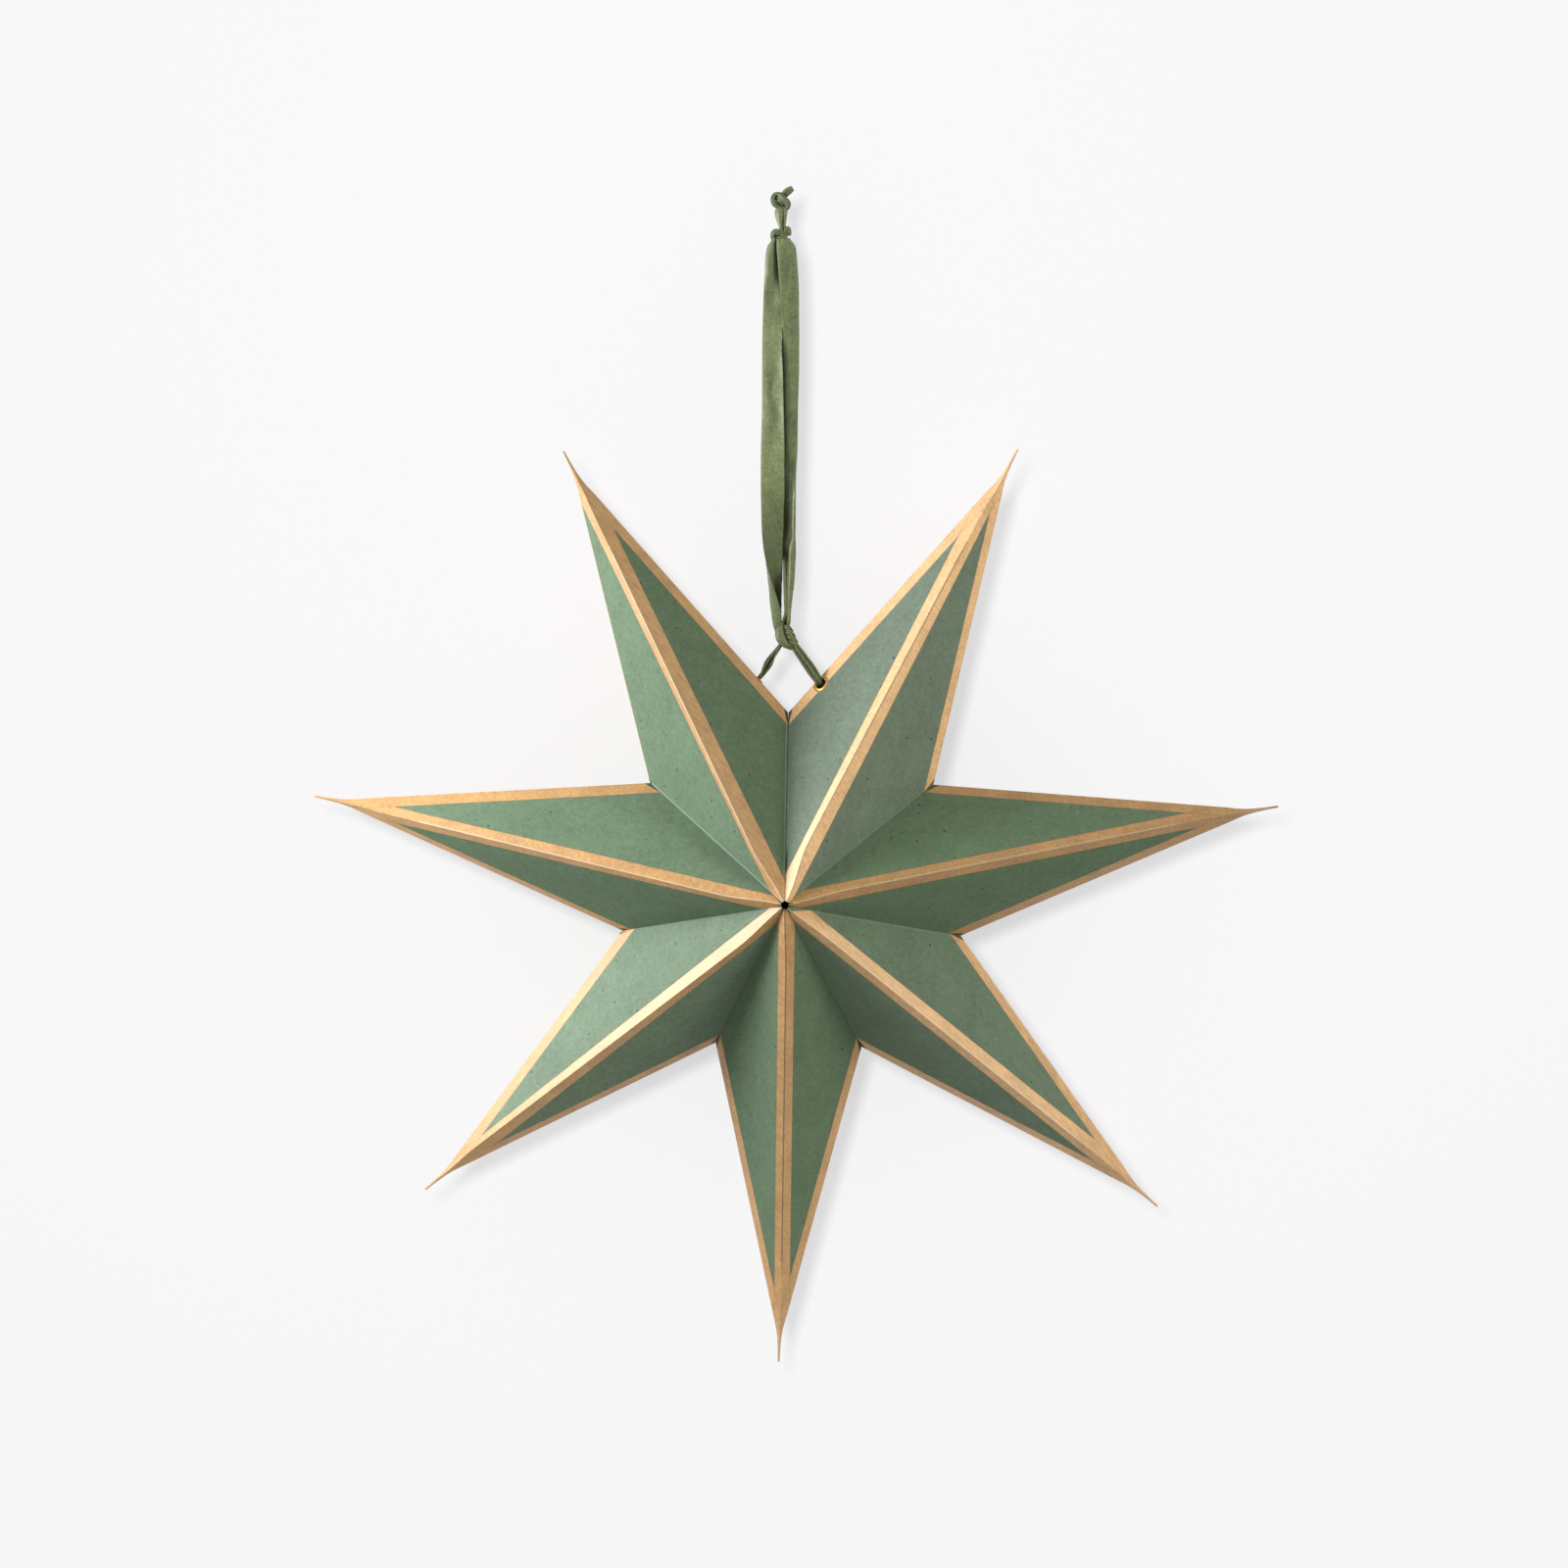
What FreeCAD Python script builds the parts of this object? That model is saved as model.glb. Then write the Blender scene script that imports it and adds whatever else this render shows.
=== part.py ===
import FreeCAD, Part
import math
import os

# Folded paper star with seven points, hung from a ribbon loop. Millimetres.
# The front faces -Y, +X is to the right and +Z is up. The origin is the inside top of the ribbon
# loop, where a nail or hook carries the star.

V = FreeCAD.Vector

# Star
TIP_RADIUS = 250.0  # from the star's axis to the end of a point
NOTCH_RADIUS = 90.0  # from the star's axis to the inner corner between two points
HALF_DEPTH = 60.0  # from the plane of the side creases to the front or back centre
CENTRE_HOLE_R = 2.0  # small hole where the seven sheets' corners meet
POINT_DEG = {
    "upper_left": 117.5,
    "upper_right": 63.0,
    "right": 10.0,
    "lower_right": -41.0,
    "bottom": -91.5,
    "lower_left": -140.0,
    "left": -190.5,
}
# Every valley lies midway between its points, apart from the top one, where the first and the
# last sheet meet unglued.
END_SEAM_OFF_DEG = 0.75  # the top valley is this far off midway, to the left
END_SEAM_OPEN_DEG = 0.5  # the angle by which these two sheets stay apart

# Sheet
PAPER = 0.4  # thickness of the handmade paper
VALLEY_FLAP = 8.0  # glue flap along each valley edge
SEAM_FLAP = 8.0  # glue flap along the back ridge
FLAP_END_GAP = 12.0  # the back flap stops this far from the star's axis
WINDOW_OVERSHOOT = 1.0  # the wall between two valley flaps is cut open this far past the axis

# Pinched end of a point: the side creases would meet PINCH_LENGTH before the end.
PINCH_LENGTH = 10.0
PINCH_START = 25.0  # measured back from the end
# Distance back from the end, half width and half depth of the pinched fin
FIN = ((13.0, 1.15, 2.6), (5.0, 0.65, 1.6), (0.0, 0.55, 0.9))

# Eyelets
EYELET_ALONG = 22.0  # from the notch, along the side crease
EYELET_INSET = 3.7  # from the side crease, in the panel
EYELET_HOLE_R = 2.5
EYELET_WALL = 0.3
EYELET_FLANGE_R = 4.5
EYELET_FLANGE_H = 0.9
EYELET_EDGE_H = 0.3
EYELET_CREST_IN = 0.675  # the flange is highest this far out from the hole
EYELET_THROAT = (0.2025, 0.72)  # a place on the curve into the hole: out from the hole, and height
EYELET_BRIM_H = 0.738  # height halfway from the crest to the rim
EYELET_LIP = 0.35  # width and height of the lip that is turned over inside the paper
EYELET_FIT = 0.05  # radial clearance of the barrel in the paper

# Ribbon
LOOP_DROP = 325.3  # from the inside top of the loop down to the star's axis
LOOP_LEAN = 5.2  # the star's axis hangs this far to the right of it
RIBBON_WIDTH = 12.0
RIBBON_THICK = 0.3
RIBBON_LAYER = 0.45  # each side of the loop lies this far before or behind the star's plane
TIE_DIAMETER = 2.8  # the gathered ribbon, where it runs through the eyelets
ARC_SHARE = 0.45  # share of the shorter run that an arc takes up on each side of its corner

# Knots: width, depth, height and edge radius
LOWER_KNOT = (9.5, 6.5, 11.5, 2.4)
UPPER_KNOT = (8.6, 5.6, 6.4, 2.0)
END_KNOT = (7.4, 5.4, 7.4, 2.2)
LOWER_KNOT_AT = (-2.2, 127.9)  # its centre, across and up from the star's axis
STEM_LENGTH = 9.3  # from the upper knot, which rests on the loop's inside top, to the end knot
END_KNOT_ACROSS = -5.4

# Route points of the ribbon, across and up from the star's axis. Each route starts and ends
# inside a knot, and the knot is then cut out of it.
LEFT_SIDE = (
    (-4.6, 130.0),
    (-7.4, 146.0),
    (-9.0, 168.0),
    (-9.4, 203.0),
    (-9.1, 250.0),
    (-8.7, 284.0),
    (-8.1, 307.0),
    (-6.2, 327.0),
)
RIGHT_SIDE = (
    (-2.9, 130.0),
    (-2.3, 146.0),
    (-1.8, 168.0),
    (-1.9, 203.0),
    (-2.1, 250.0),
    (-2.2, 284.0),
    (-2.7, 307.0),
    (-4.4, 327.0),
)
STEM = ((-4.6, 329.0), (-4.9, 343.0))
STEM_WIDTH = 5.4
STEM_THICK = 1.2
TAIL = ((-4.2, 345.8), (0.6, 351.2))
TAIL_WIDTH = 4.0

# The tie leaves the lower knot here, before the star's plane on the right and behind on the left.
TIE_START = ((0.6, 125.0), (-4.8, 125.0))
TIE_START_Y = 1.2
TIE_MIDWAY = 0.55  # a route point this share of the way from the knot to the eyelet
TIE_MIDWAY_BOW = 0.6
TIE_OUTSIDE = 2.4  # route points before and behind an eyelet, on its axis
TIE_INSIDE = 3.6
TIE_PULL = 0.65  # the tie is pulled this far from an eyelet's axis, towards the lower knot
# Inside a point, on the way down to the gap below the flaps: across on its own side, and up
TIE_INNER = ((13.6, 88.0), (9.6, 76.0), (4.6, 68.5))

BIG = 1200.0  # edge of the blocks that stand for half-spaces


def on_star(across, up, y=0.0):
    """A place given across and up from the star's axis."""
    return V(LOOP_LEAN + across, y, up - LOOP_DROP)


def towards(degrees):
    return V(math.cos(math.radians(degrees)), 0, math.sin(math.radians(degrees)))


def polar(radius, degrees, y=0.0):
    return on_star(0, 0, y) + towards(degrees) * radius


def block_beyond(place, normal):
    """A large block on the outer side of a plane."""
    block = Part.makeBox(BIG, BIG, BIG, V(-BIG / 2, -BIG / 2, 0))
    block.Placement = FreeCAD.Placement(place, FreeCAD.Rotation(V(0, 0, 1), normal))
    return block


def within(planes):
    """The solid inside a set of planes, each given by a place on it and its outward normal."""
    start = on_star(0, 0)
    body = Part.makeBox(BIG / 2, BIG / 2, BIG / 2, start - V(BIG / 4, BIG / 4, BIG / 4))
    for place, normal in planes:
        body = body.cut(block_beyond(place, normal))
    return body


def panel_plane(side, notch, crease_end, depth=0.0):
    """The plane of one panel, sunk by depth into the point. side is -1 for front, 1 for back."""
    centre = on_star(0, 0, side * HALF_DEPTH)
    normal = (crease_end - notch).cross(centre - notch)
    normal.normalize()
    if normal.y * side < 0:
        normal = normal * -1
    return notch - normal * depth, normal


def valley_plane(valley, tip, depth=0.0):
    """The plane through the star's axis where a sheet meets its neighbour, sunk by depth."""
    across = towards(valley + 90)
    if across.dot(towards(tip)) > 0:
        across = across * -1
    return on_star(0, 0) - across * depth, across


def rhombus(centre, across, half_width_a, half_width_b, half_depth):
    corners = [
        centre - across * half_width_a,
        centre - V(0, half_depth, 0),
        centre + across * half_width_b,
        centre + V(0, half_depth, 0),
    ]
    return Part.makePolygon(corners + corners[:1])


class Point:
    """The places that one point of the star is drawn from."""

    def __init__(self, tip, low_valley, high_valley):
        self.tip = tip
        self.valleys = (low_valley, high_valley)
        self.crease_end = polar(TIP_RADIUS - PINCH_LENGTH, tip)
        self.notches = [polar(NOTCH_RADIUS, v) for v in self.valleys]

    def planes(self, depth):
        panels = [panel_plane(s, n, self.crease_end, depth) for s in (-1, 1) for n in self.notches]
        return panels + [valley_plane(v, self.tip, depth) for v in self.valleys]

    def crease_offset(self, notch, radius):
        """How far the side crease is from the point's middle line, at a distance from the axis."""
        along, across = towards(self.tip), towards(self.tip + 90)
        start = notch - on_star(0, 0)
        share = (TIP_RADIUS - PINCH_LENGTH - radius) / (TIP_RADIUS - PINCH_LENGTH - start.dot(along))
        return abs(start.dot(across)) * share

    def pinched_end(self):
        along, across = towards(self.tip), towards(self.tip + 90)
        radius = TIP_RADIUS - PINCH_START
        low, high = [self.crease_offset(n, radius) for n in self.notches]
        depth = HALF_DEPTH * (PINCH_START - PINCH_LENGTH) / (TIP_RADIUS - PINCH_LENGTH)
        sections = [rhombus(on_star(0, 0) + along * radius, across, low, high, depth)]
        for back, half_width, half_depth in FIN:
            centre = on_star(0, 0) + along * (TIP_RADIUS - back)
            sections.append(rhombus(centre, across, half_width, half_width, half_depth))
        return Part.makeLoft(sections, True, True)

    def window(self, valley):
        """The open middle of the wall along a valley, inside its two glue flaps."""
        slope = math.hypot(NOTCH_RADIUS, HALF_DEPTH)
        apex = NOTCH_RADIUS - VALLEY_FLAP * slope / HALF_DEPTH
        reach = HALF_DEPTH - VALLEY_FLAP * slope / NOTCH_RADIUS
        beyond = 1 + WINDOW_OVERSHOOT / apex
        far = [polar(-WINDOW_OVERSHOOT, valley, s * reach * beyond) for s in (-1, 1)]
        corners = [polar(apex, valley)] + far
        across = towards(valley + 90) * (2 * PAPER)
        face = Part.Face(Part.makePolygon([c - across for c in corners + corners[:1]]))
        return face.extrude(across * 2)

    def seam_flap(self):
        """The flap that is glued under one back panel, along the back ridge."""
        notch = self.notches[0]
        place, normal = panel_plane(1, notch, self.crease_end)
        ridge = self.crease_end - on_star(0, 0, HALF_DEPTH)
        inward = normal.cross(ridge)
        inward.normalize()
        if inward.dot(notch - self.crease_end) < 0:
            inward = inward * -1
        planes = self.planes(PAPER)
        planes.append((place - normal * (2 * PAPER), normal * -1))
        planes.append((self.crease_end + inward * SEAM_FLAP, inward))
        planes.append((on_star(0, 0) + towards(self.tip) * FLAP_END_GAP, towards(self.tip) * -1))
        return within(planes)

    def sheet(self):
        cut_off = on_star(0, 0) + towards(self.tip) * (TIP_RADIUS - PINCH_START)
        outside = within(self.planes(0) + [(cut_off, towards(self.tip))])
        body = outside.fuse(self.pinched_end()).cut(within(self.planes(PAPER)))
        for valley in self.valleys:
            body = body.cut(self.window(valley))
        body = body.fuse(self.seam_flap())
        hole = Part.makeCylinder(CENTRE_HOLE_R, BIG, on_star(0, 0, -BIG / 2), V(0, 1, 0))
        return body.cut(hole).removeSplitter()


def eyelet_seat(point, notch, side):
    """Where an eyelet's axis meets the outer face of a panel, and the outward normal there."""
    place, normal = panel_plane(side, notch, point.crease_end)
    along = point.crease_end - notch
    along.normalize()
    inward = normal.cross(along)
    if inward.dot(on_star(0, 0) - notch) < 0:
        inward = inward * -1
    return notch + along * EYELET_ALONG + inward * EYELET_INSET, normal


def eyelet(seat, normal):
    """A turned section: rolled front flange, barrel and the lip turned over inside."""
    barrel_r = EYELET_HOLE_R + EYELET_WALL
    lip_r = barrel_r + EYELET_LIP
    crest_r = EYELET_HOLE_R + EYELET_CREST_IN
    low = -PAPER - EYELET_LIP
    crest = V(crest_r, 0, EYELET_FLANGE_H)
    throat_out, throat_h = EYELET_THROAT
    throat = Part.Arc(
        V(EYELET_HOLE_R, 0, EYELET_EDGE_H),
        V(EYELET_HOLE_R + throat_out, 0, throat_h),
        crest,
    )
    brim = Part.Arc(
        crest,
        V((crest_r + EYELET_FLANGE_R) / 2, 0, EYELET_BRIM_H),
        V(EYELET_FLANGE_R, 0, EYELET_EDGE_H),
    )
    rest = [
        V(EYELET_FLANGE_R, 0, EYELET_EDGE_H),
        V(EYELET_FLANGE_R, 0, 0),
        V(barrel_r, 0, 0),
        V(barrel_r, 0, -PAPER),
        V(lip_r, 0, -PAPER),
        V(lip_r, 0, low),
        V(EYELET_HOLE_R, 0, low),
        V(EYELET_HOLE_R, 0, EYELET_EDGE_H),
    ]
    lines = [Part.makeLine(a, b) for a, b in zip(rest, rest[1:])]
    section = Part.Face(Part.Wire([throat.toShape(), brim.toShape()] + lines))
    body = section.revolve(V(0, 0, 0), V(0, 0, 1), 360)
    body.Placement = FreeCAD.Placement(seat, FreeCAD.Rotation(V(0, 0, 1), normal))
    return body


def eyelet_hole(seat, normal):
    radius = EYELET_HOLE_R + EYELET_WALL + EYELET_FIT
    return Part.makeCylinder(radius, 4 * PAPER, seat - normal * (2 * PAPER), normal)


def route_wire(points):
    """Straight runs joined by tangent arcs, each as large as its two runs allow."""
    edges, radii, start = [], [], points[0]
    for before, corner, after in zip(points, points[1:], points[2:]):
        back, ahead = before - corner, after - corner
        shorter = min(back.Length, ahead.Length)
        half_turn = (math.pi - back.getAngle(ahead)) / 2
        cut = ARC_SHARE * shorter
        radius = cut / math.tan(half_turn)
        back.normalize()
        ahead.normalize()
        first, last = corner + back * cut, corner + ahead * cut
        bisector = back + ahead
        bisector.normalize()
        inner = radius / math.cos(half_turn) - radius
        edges.append(Part.makeLine(start, first))
        edges.append(Part.Arc(first, corner + bisector * inner, last).toShape())
        radii.append(radius)
        start = last
    edges.append(Part.makeLine(start, points[-1]))
    return Part.Wire(edges), radii


def sweep(points, profile, name, area):
    wire, radii = route_wire(points)
    body = wire.makePipeShell([profile], True, False)
    print(name, "length", round(wire.Length, 1), "radii", [round(r, 1) for r in radii])
    print(name, "volume", round(body.Volume, 1), "section times length", round(area * wire.Length, 1))
    return body


def flat_band(route, width, thick, y, name):
    points = [on_star(across, up, y) for across, up in route]
    along = points[1] - points[0]
    along.normalize()
    across, deep = V(along.z, 0, -along.x) * (width / 2), V(0, thick / 2, 0)
    start = points[0]
    corners = [start - across - deep, start + across - deep, start + across + deep, start - across + deep]
    profile = Part.makePolygon(corners + corners[:1])
    if len(points) == 2:
        return Part.Face(profile).extrude(points[1] - points[0])
    return sweep(points, profile, name, width * thick)


def knot(size, across, up):
    """A rounded block; up is the height of its centre."""
    width, depth, height, edge = size
    corner = on_star(across - width / 2, up - height / 2, -depth / 2)
    body = Part.makeBox(width, depth, height, corner)
    return body.makeFillet(edge, body.Edges)


def tie_half(start, sign, seat, normal):
    """From the lower knot through one eyelet to the gap below the flaps; sign is 1 on the right."""
    first = on_star(start[0], start[1], -sign * TIE_START_Y)
    pull = first - seat
    pull = pull - normal * pull.dot(normal)
    pull.normalize()
    seat = seat + pull * TIE_PULL
    outside = seat + normal * TIE_OUTSIDE
    midway = first + (outside - first) * TIE_MIDWAY + V(0, 0, TIE_MIDWAY_BOW)
    inner = [on_star(sign * across, up) for across, up in TIE_INNER]
    return [first, midway, outside, seat - normal * TIE_INSIDE] + inner


def tie_tube(right_seat, left_seat):
    right = tie_half(TIE_START[0], 1, *right_seat)
    left = tie_half(TIE_START[1], -1, *left_seat)
    points = right + left[::-1]
    for place in points:
        print("tie point", [round(x, 1) for x in place])
    along = points[1] - points[0]
    profile = Part.Wire(Part.makeCircle(TIE_DIAMETER / 2, points[0], along))
    return sweep(points, profile, "ribbon_tie", math.pi * TIE_DIAMETER**2 / 4)


def make_points():
    names = list(POINT_DEG)
    tips = list(POINT_DEG.values())
    points = {}
    for i, name in enumerate(names):
        before = tips[i - 1] if i else tips[-1] + 360
        after = tips[i + 1] if i + 1 < len(tips) else tips[0] - 360
        high, low = (tips[i] + before) / 2, (tips[i] + after) / 2
        if name == "upper_left":
            low += END_SEAM_OFF_DEG + END_SEAM_OPEN_DEG / 2
        if name == "upper_right":
            high += END_SEAM_OFF_DEG - END_SEAM_OPEN_DEG / 2
        points[name] = Point(tips[i], low, high)
    return points


def main():
    os.makedirs("parts", exist_ok=True)
    points = make_points()
    upper_right, upper_left = points["upper_right"], points["upper_left"]
    right_seat = eyelet_seat(upper_right, upper_right.notches[1], -1)
    left_seat = eyelet_seat(upper_left, upper_left.notches[0], 1)
    seats = {"upper_right": right_seat, "upper_left": left_seat}

    nodes = {}
    for name, point in points.items():
        sheet = point.sheet()
        if name in seats:
            sheet = sheet.cut(eyelet_hole(*seats[name]))
        nodes["point_" + name] = sheet
    nodes["eyelet_right"] = eyelet(*right_seat)
    nodes["eyelet_left"] = eyelet(*left_seat)

    upper_height, end_height = UPPER_KNOT[2], END_KNOT[2]
    end_up = LOOP_DROP + upper_height + STEM_LENGTH + end_height / 2
    lower = knot(LOWER_KNOT, *LOWER_KNOT_AT)
    upper = knot(UPPER_KNOT, -LOOP_LEAN, LOOP_DROP + upper_height / 2)
    end = knot(END_KNOT, END_KNOT_ACROSS, end_up)
    left = flat_band(LEFT_SIDE, RIBBON_WIDTH, RIBBON_THICK, RIBBON_LAYER, "ribbon_loop_left")
    right = flat_band(RIGHT_SIDE, RIBBON_WIDTH, RIBBON_THICK, -RIBBON_LAYER, "ribbon_loop_right")
    nodes["ribbon_loop_left"] = left.cut(lower).cut(upper)
    nodes["ribbon_loop_right"] = right.cut(lower).cut(upper)
    nodes["ribbon_stem"] = flat_band(STEM, STEM_WIDTH, STEM_THICK, 0, "stem").cut(upper).cut(end)
    nodes["ribbon_tail"] = flat_band(TAIL, TAIL_WIDTH, STEM_THICK, 0, "tail").cut(end)
    nodes["ribbon_tie"] = tie_tube(right_seat, left_seat).cut(lower)
    nodes["ribbon_lower_knot"] = lower
    nodes["ribbon_upper_knot"] = upper
    nodes["ribbon_end_knot"] = end

    for name, shape in nodes.items():
        solids = shape.Solids
        print(name, "solids", len(solids), "volume", round(shape.Volume, 1), "valid", shape.isValid())
        (solids[0] if len(solids) == 1 else shape).exportStep("parts/" + name + ".step")


main()
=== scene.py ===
import math

import bmesh
import bpy
from bpy.props import FloatProperty, FloatVectorProperty, PointerProperty
from mathutils import Matrix, Vector, noise


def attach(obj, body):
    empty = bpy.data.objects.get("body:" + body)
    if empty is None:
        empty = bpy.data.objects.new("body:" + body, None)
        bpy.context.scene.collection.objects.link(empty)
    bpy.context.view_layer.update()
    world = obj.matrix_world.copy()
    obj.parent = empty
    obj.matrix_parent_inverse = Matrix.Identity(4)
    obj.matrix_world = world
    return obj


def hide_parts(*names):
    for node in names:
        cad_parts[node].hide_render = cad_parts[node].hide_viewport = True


bl_info = {
    "name": "Folded paper star",
    "version": (1, 0, 0),
    "blender": (4, 5, 0),
    "location": "View3D > Sidebar > Paper star",
    "description": "Dresses a folded paper star with painted paper, eyelets and a ribbon loop",
    "category": "Object",
}

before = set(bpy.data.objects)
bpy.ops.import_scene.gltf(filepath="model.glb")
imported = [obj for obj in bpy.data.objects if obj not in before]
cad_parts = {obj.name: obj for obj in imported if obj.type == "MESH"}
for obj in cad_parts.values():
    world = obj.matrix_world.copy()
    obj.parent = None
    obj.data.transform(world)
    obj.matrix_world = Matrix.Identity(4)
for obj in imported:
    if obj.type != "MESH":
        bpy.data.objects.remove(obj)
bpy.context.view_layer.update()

MM = 0.001

# The star's axis, from the inside top of the ribbon loop
LOOP_DROP = 325.3 * MM
LOOP_LEAN = 5.2 * MM
CENTRE = Vector((LOOP_LEAN, 0, -LOOP_DROP))

# Star, in millimetres as it was folded
TIP_RADIUS = 250.0
NOTCH_RADIUS = 90.0
HALF_DEPTH = 60.0
PINCH_LENGTH = 10.0
PINCH_START = 25.0
CREASE_END = TIP_RADIUS - PINCH_LENGTH
BODY_END = TIP_RADIUS - PINCH_START
VALLEY_FLAP = 8.0
CENTRE_HOLE = 1.9
GLUE_GAP = 0.03  # what two glued sheets keep clear of the plane between them
TOP_VALLEY_OFF_DEG = 0.75  # the valley without glue lies off the middle, and stands open
TOP_VALLEY_OPEN_DEG = 0.12
EYELET_ALONG = 22.0
EYELET_INSET = 3.7
EYELET_HOLE = 2.85
LONG_CUTS = 7  # cuts across the long folds of a point, and then in every edge of its panels
PANEL_CUTS = 5
FOLD_ANGLE = math.radians(35)  # what turns more than this is a fold and gets rounded
PAPER_SHARP_ANGLE = math.radians(8)
RIBBON_SHARP_ANGLE = math.radians(55)

# Front crease: where its two offsets are read, and where it leaves and rejoins the middle line
BOW_AT = (40.0, 200.0)
BOW_BEGINS = (3.0, 32.0)
BOW_ENDS = (215.0, 232.0)

# How the paper settles, in millimetres
NARROW_END = (5.0, 14.0)  # flat up to this half width, and fully settled so much wider
VALLEY_CALM = (0.3, 7.0)  # the same from a valley
EYELET_CALM = (5.0, 13.0)  # flat round an eyelet, and settled again
WAVE_CALM = 9.0  # distance from a fold over which the waves die out
WAVES = ((0.021, 1.4), (0.06, 0.4))  # fineness and share of the slow and of the short waves

# Paint maps, in millimetres
FLAP_CLEAR = 11.0  # a flap's faces nearer to a notch than this are painted like the outside
FIN_BLEND = 4.0
TIP_FADE = 30.0  # the crease line, dark or a painted highlight, gets thinner over this length before the pinched end
TIP_SHARPER = 30.0
UNPAINTED = (-9.0, 9.0)

# The pinched end: distance back from the end, half width and half depth
FIN = (
    (0.0, 0.55, 0.9),
    (2.0, 0.58, 1.15),
    (5.0, 0.65, 1.6),
    (9.0, 0.85, 2.1),
    (13.0, 1.15, 2.6),
    (17.0, 1.7, 3.0),
    (21.0, 2.55, 3.4),
)

# The points, clockwise from the left of the loop. Right and left are as seen looking out along the
# point from the star's middle, and lengths are millimetres.
# degrees: its direction
# bow: how far the front crease runs to the left of the middle line, near the star's middle and
#      near the tip
# band: how far the ridge's gold reaches to the right and to the left of the middle line
# side_gold: width of the gold on the right and on the left side fold, as seen from the front
# crease: how dark the line along the ridge's crease is, or below 0 how strong a pale painted highlight runs
# there
# flat: how much the painted ridge is pressed flat on its right and on its left
# shade: tone of the sheet; gold: painted light on its gold, above 1 a painted highlight, below 1 painted
# shade
# seam: how strong the pale glue thread, partly a painted highlight, shows in its valleys
POINTS = {
    "upper_left": {
        "degrees": 117.5, "bow": (2.3, 0.6), "band": (5.0, 4.2), "side_gold": (4.2, 0.2),
        "crease": -0.55, "flat": (0.1, 0.0), "shade": 0.82, "gold": 0.92, "seam": 0.4,
    },
    "upper_right": {
        "degrees": 63.0, "bow": (3.6, 1.5), "band": (2.3, 6.7), "side_gold": (4.0, 4.4),
        "crease": 0.75, "flat": (0.5, 0.1), "shade": 1.2, "gold": 1.9, "seam": 0.08,
    },
    "right": {
        "degrees": 10.0, "bow": (1.5, 1.0), "band": (3.2, 5.2), "side_gold": (4.6, 4.0),
        "crease": -0.35, "flat": (0.3, 0.0), "shade": 0.97, "gold": 0.94, "seam": 0.0,
    },
    "lower_right": {
        "degrees": -41.0, "bow": (0.7, 0.6), "band": (3.7, 5.7), "side_gold": (4.0, 3.7),
        "crease": -0.6, "flat": (0.1, 0.4), "shade": 1.12, "gold": 1.38, "seam": 0.12,
    },
    "bottom": {
        "degrees": -91.5, "bow": (0.9, 0.8), "band": (3.2, 5.0), "side_gold": (4.0, 4.0),
        "crease": 0.75, "flat": (0.6, 0.0), "shade": 0.88, "gold": 1.08, "seam": 0.0,
    },
    "lower_left": {
        "degrees": -140.0, "bow": (1.8, -0.7), "band": (3.5, 5.0), "side_gold": (4.6, 3.6),
        "crease": 0.1, "flat": (0.1, 0.1), "shade": 1.12, "gold": 1.02, "seam": 0.0,
    },
    "left": {
        "degrees": -190.5, "bow": (2.2, 1.0), "band": (3.2, 5.2), "side_gold": (4.8, 3.2),
        "crease": -0.6, "flat": (0.4, 0.1), "shade": 0.88, "gold": 1.04, "seam": 0.0,
    },
}
GOLD_STRIPE = 8.7  # width of a gold band as seen from the front, both sides of its fold together
GOLD_LEAST = 1.5  # for the mesh alone, where a band nearly vanishes

# Route points of the ribbon, across and up from the star's axis, in millimetres
LEFT_SIDE = (
    (-4.6, 130.0),
    (-7.4, 146.0),
    (-9.0, 168.0),
    (-9.4, 203.0),
    (-9.1, 250.0),
    (-8.7, 284.0),
    (-8.1, 307.0),
    (-6.2, 327.0),
)
RIGHT_SIDE = (
    (-2.9, 130.0),
    (-2.3, 146.0),
    (-1.8, 168.0),
    (-1.9, 203.0),
    (-2.1, 250.0),
    (-2.2, 284.0),
    (-2.7, 307.0),
    (-4.4, 327.0),
)
STEM_PLACES = ((-4.3, 328.6, 0.2), (-4.4, 333.0, 0.5), (-4.9, 338.0, 0.4), (-5.0, 342.6, 0.0))
TAIL_PLACES = ((-4.8, 346.2, 0.4), (-3.6, 348.6, 1.0), (-1.4, 350.2, 1.0), (0.7, 351.6, 0.6))
# The tie through both eyelets, in the row's frame, in millimetres
TIE_ROUTE = (
    (5.8, -1.2, -200.3),
    (13.1, -2.7, -210.0),
    (19.1, -3.9, -219.1),
    (22.3, 0.4, -221.9),
    (18.8, 0.0, -237.3),
    (14.8, 0.0, -249.3),
    (9.8, 0.0, -256.8),
    (0.6, 0.0, -256.8),
    (-4.4, 0.0, -249.3),
    (-8.4, 0.0, -237.3),
    (-15.0, -0.3, -221.8),
    (-11.8, 3.9, -219.0),
    (-6.3, 2.7, -210.0),
    (0.4, 1.2, -200.3),
)


def srgb(red, green, blue):
    """A colour as it is seen, in steps of 255, as the linear colour of a shader."""
    values = []
    for step in (red, green, blue):
        share = step / 255
        values.append(share / 12.92 if share <= 0.04045 else ((share + 0.055) / 1.055) ** 2.4)
    return (*values, 1.0)


def colour_setting(name, description, colour):
    return FloatVectorProperty(
        name=name, description=description, subtype="COLOR", size=4, min=0, max=1, default=colour
    )


def length_setting(name, description, millimetres):
    return FloatProperty(
        name=name, description=description, unit="LENGTH", min=0, default=millimetres * MM
    )


PALE_FLECK = srgb(186, 196, 178)
# Pale line along a ridge's crease: a painted highlight
PAINTED_CREASE_HIGHLIGHT = srgb(250, 228, 190)
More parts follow.
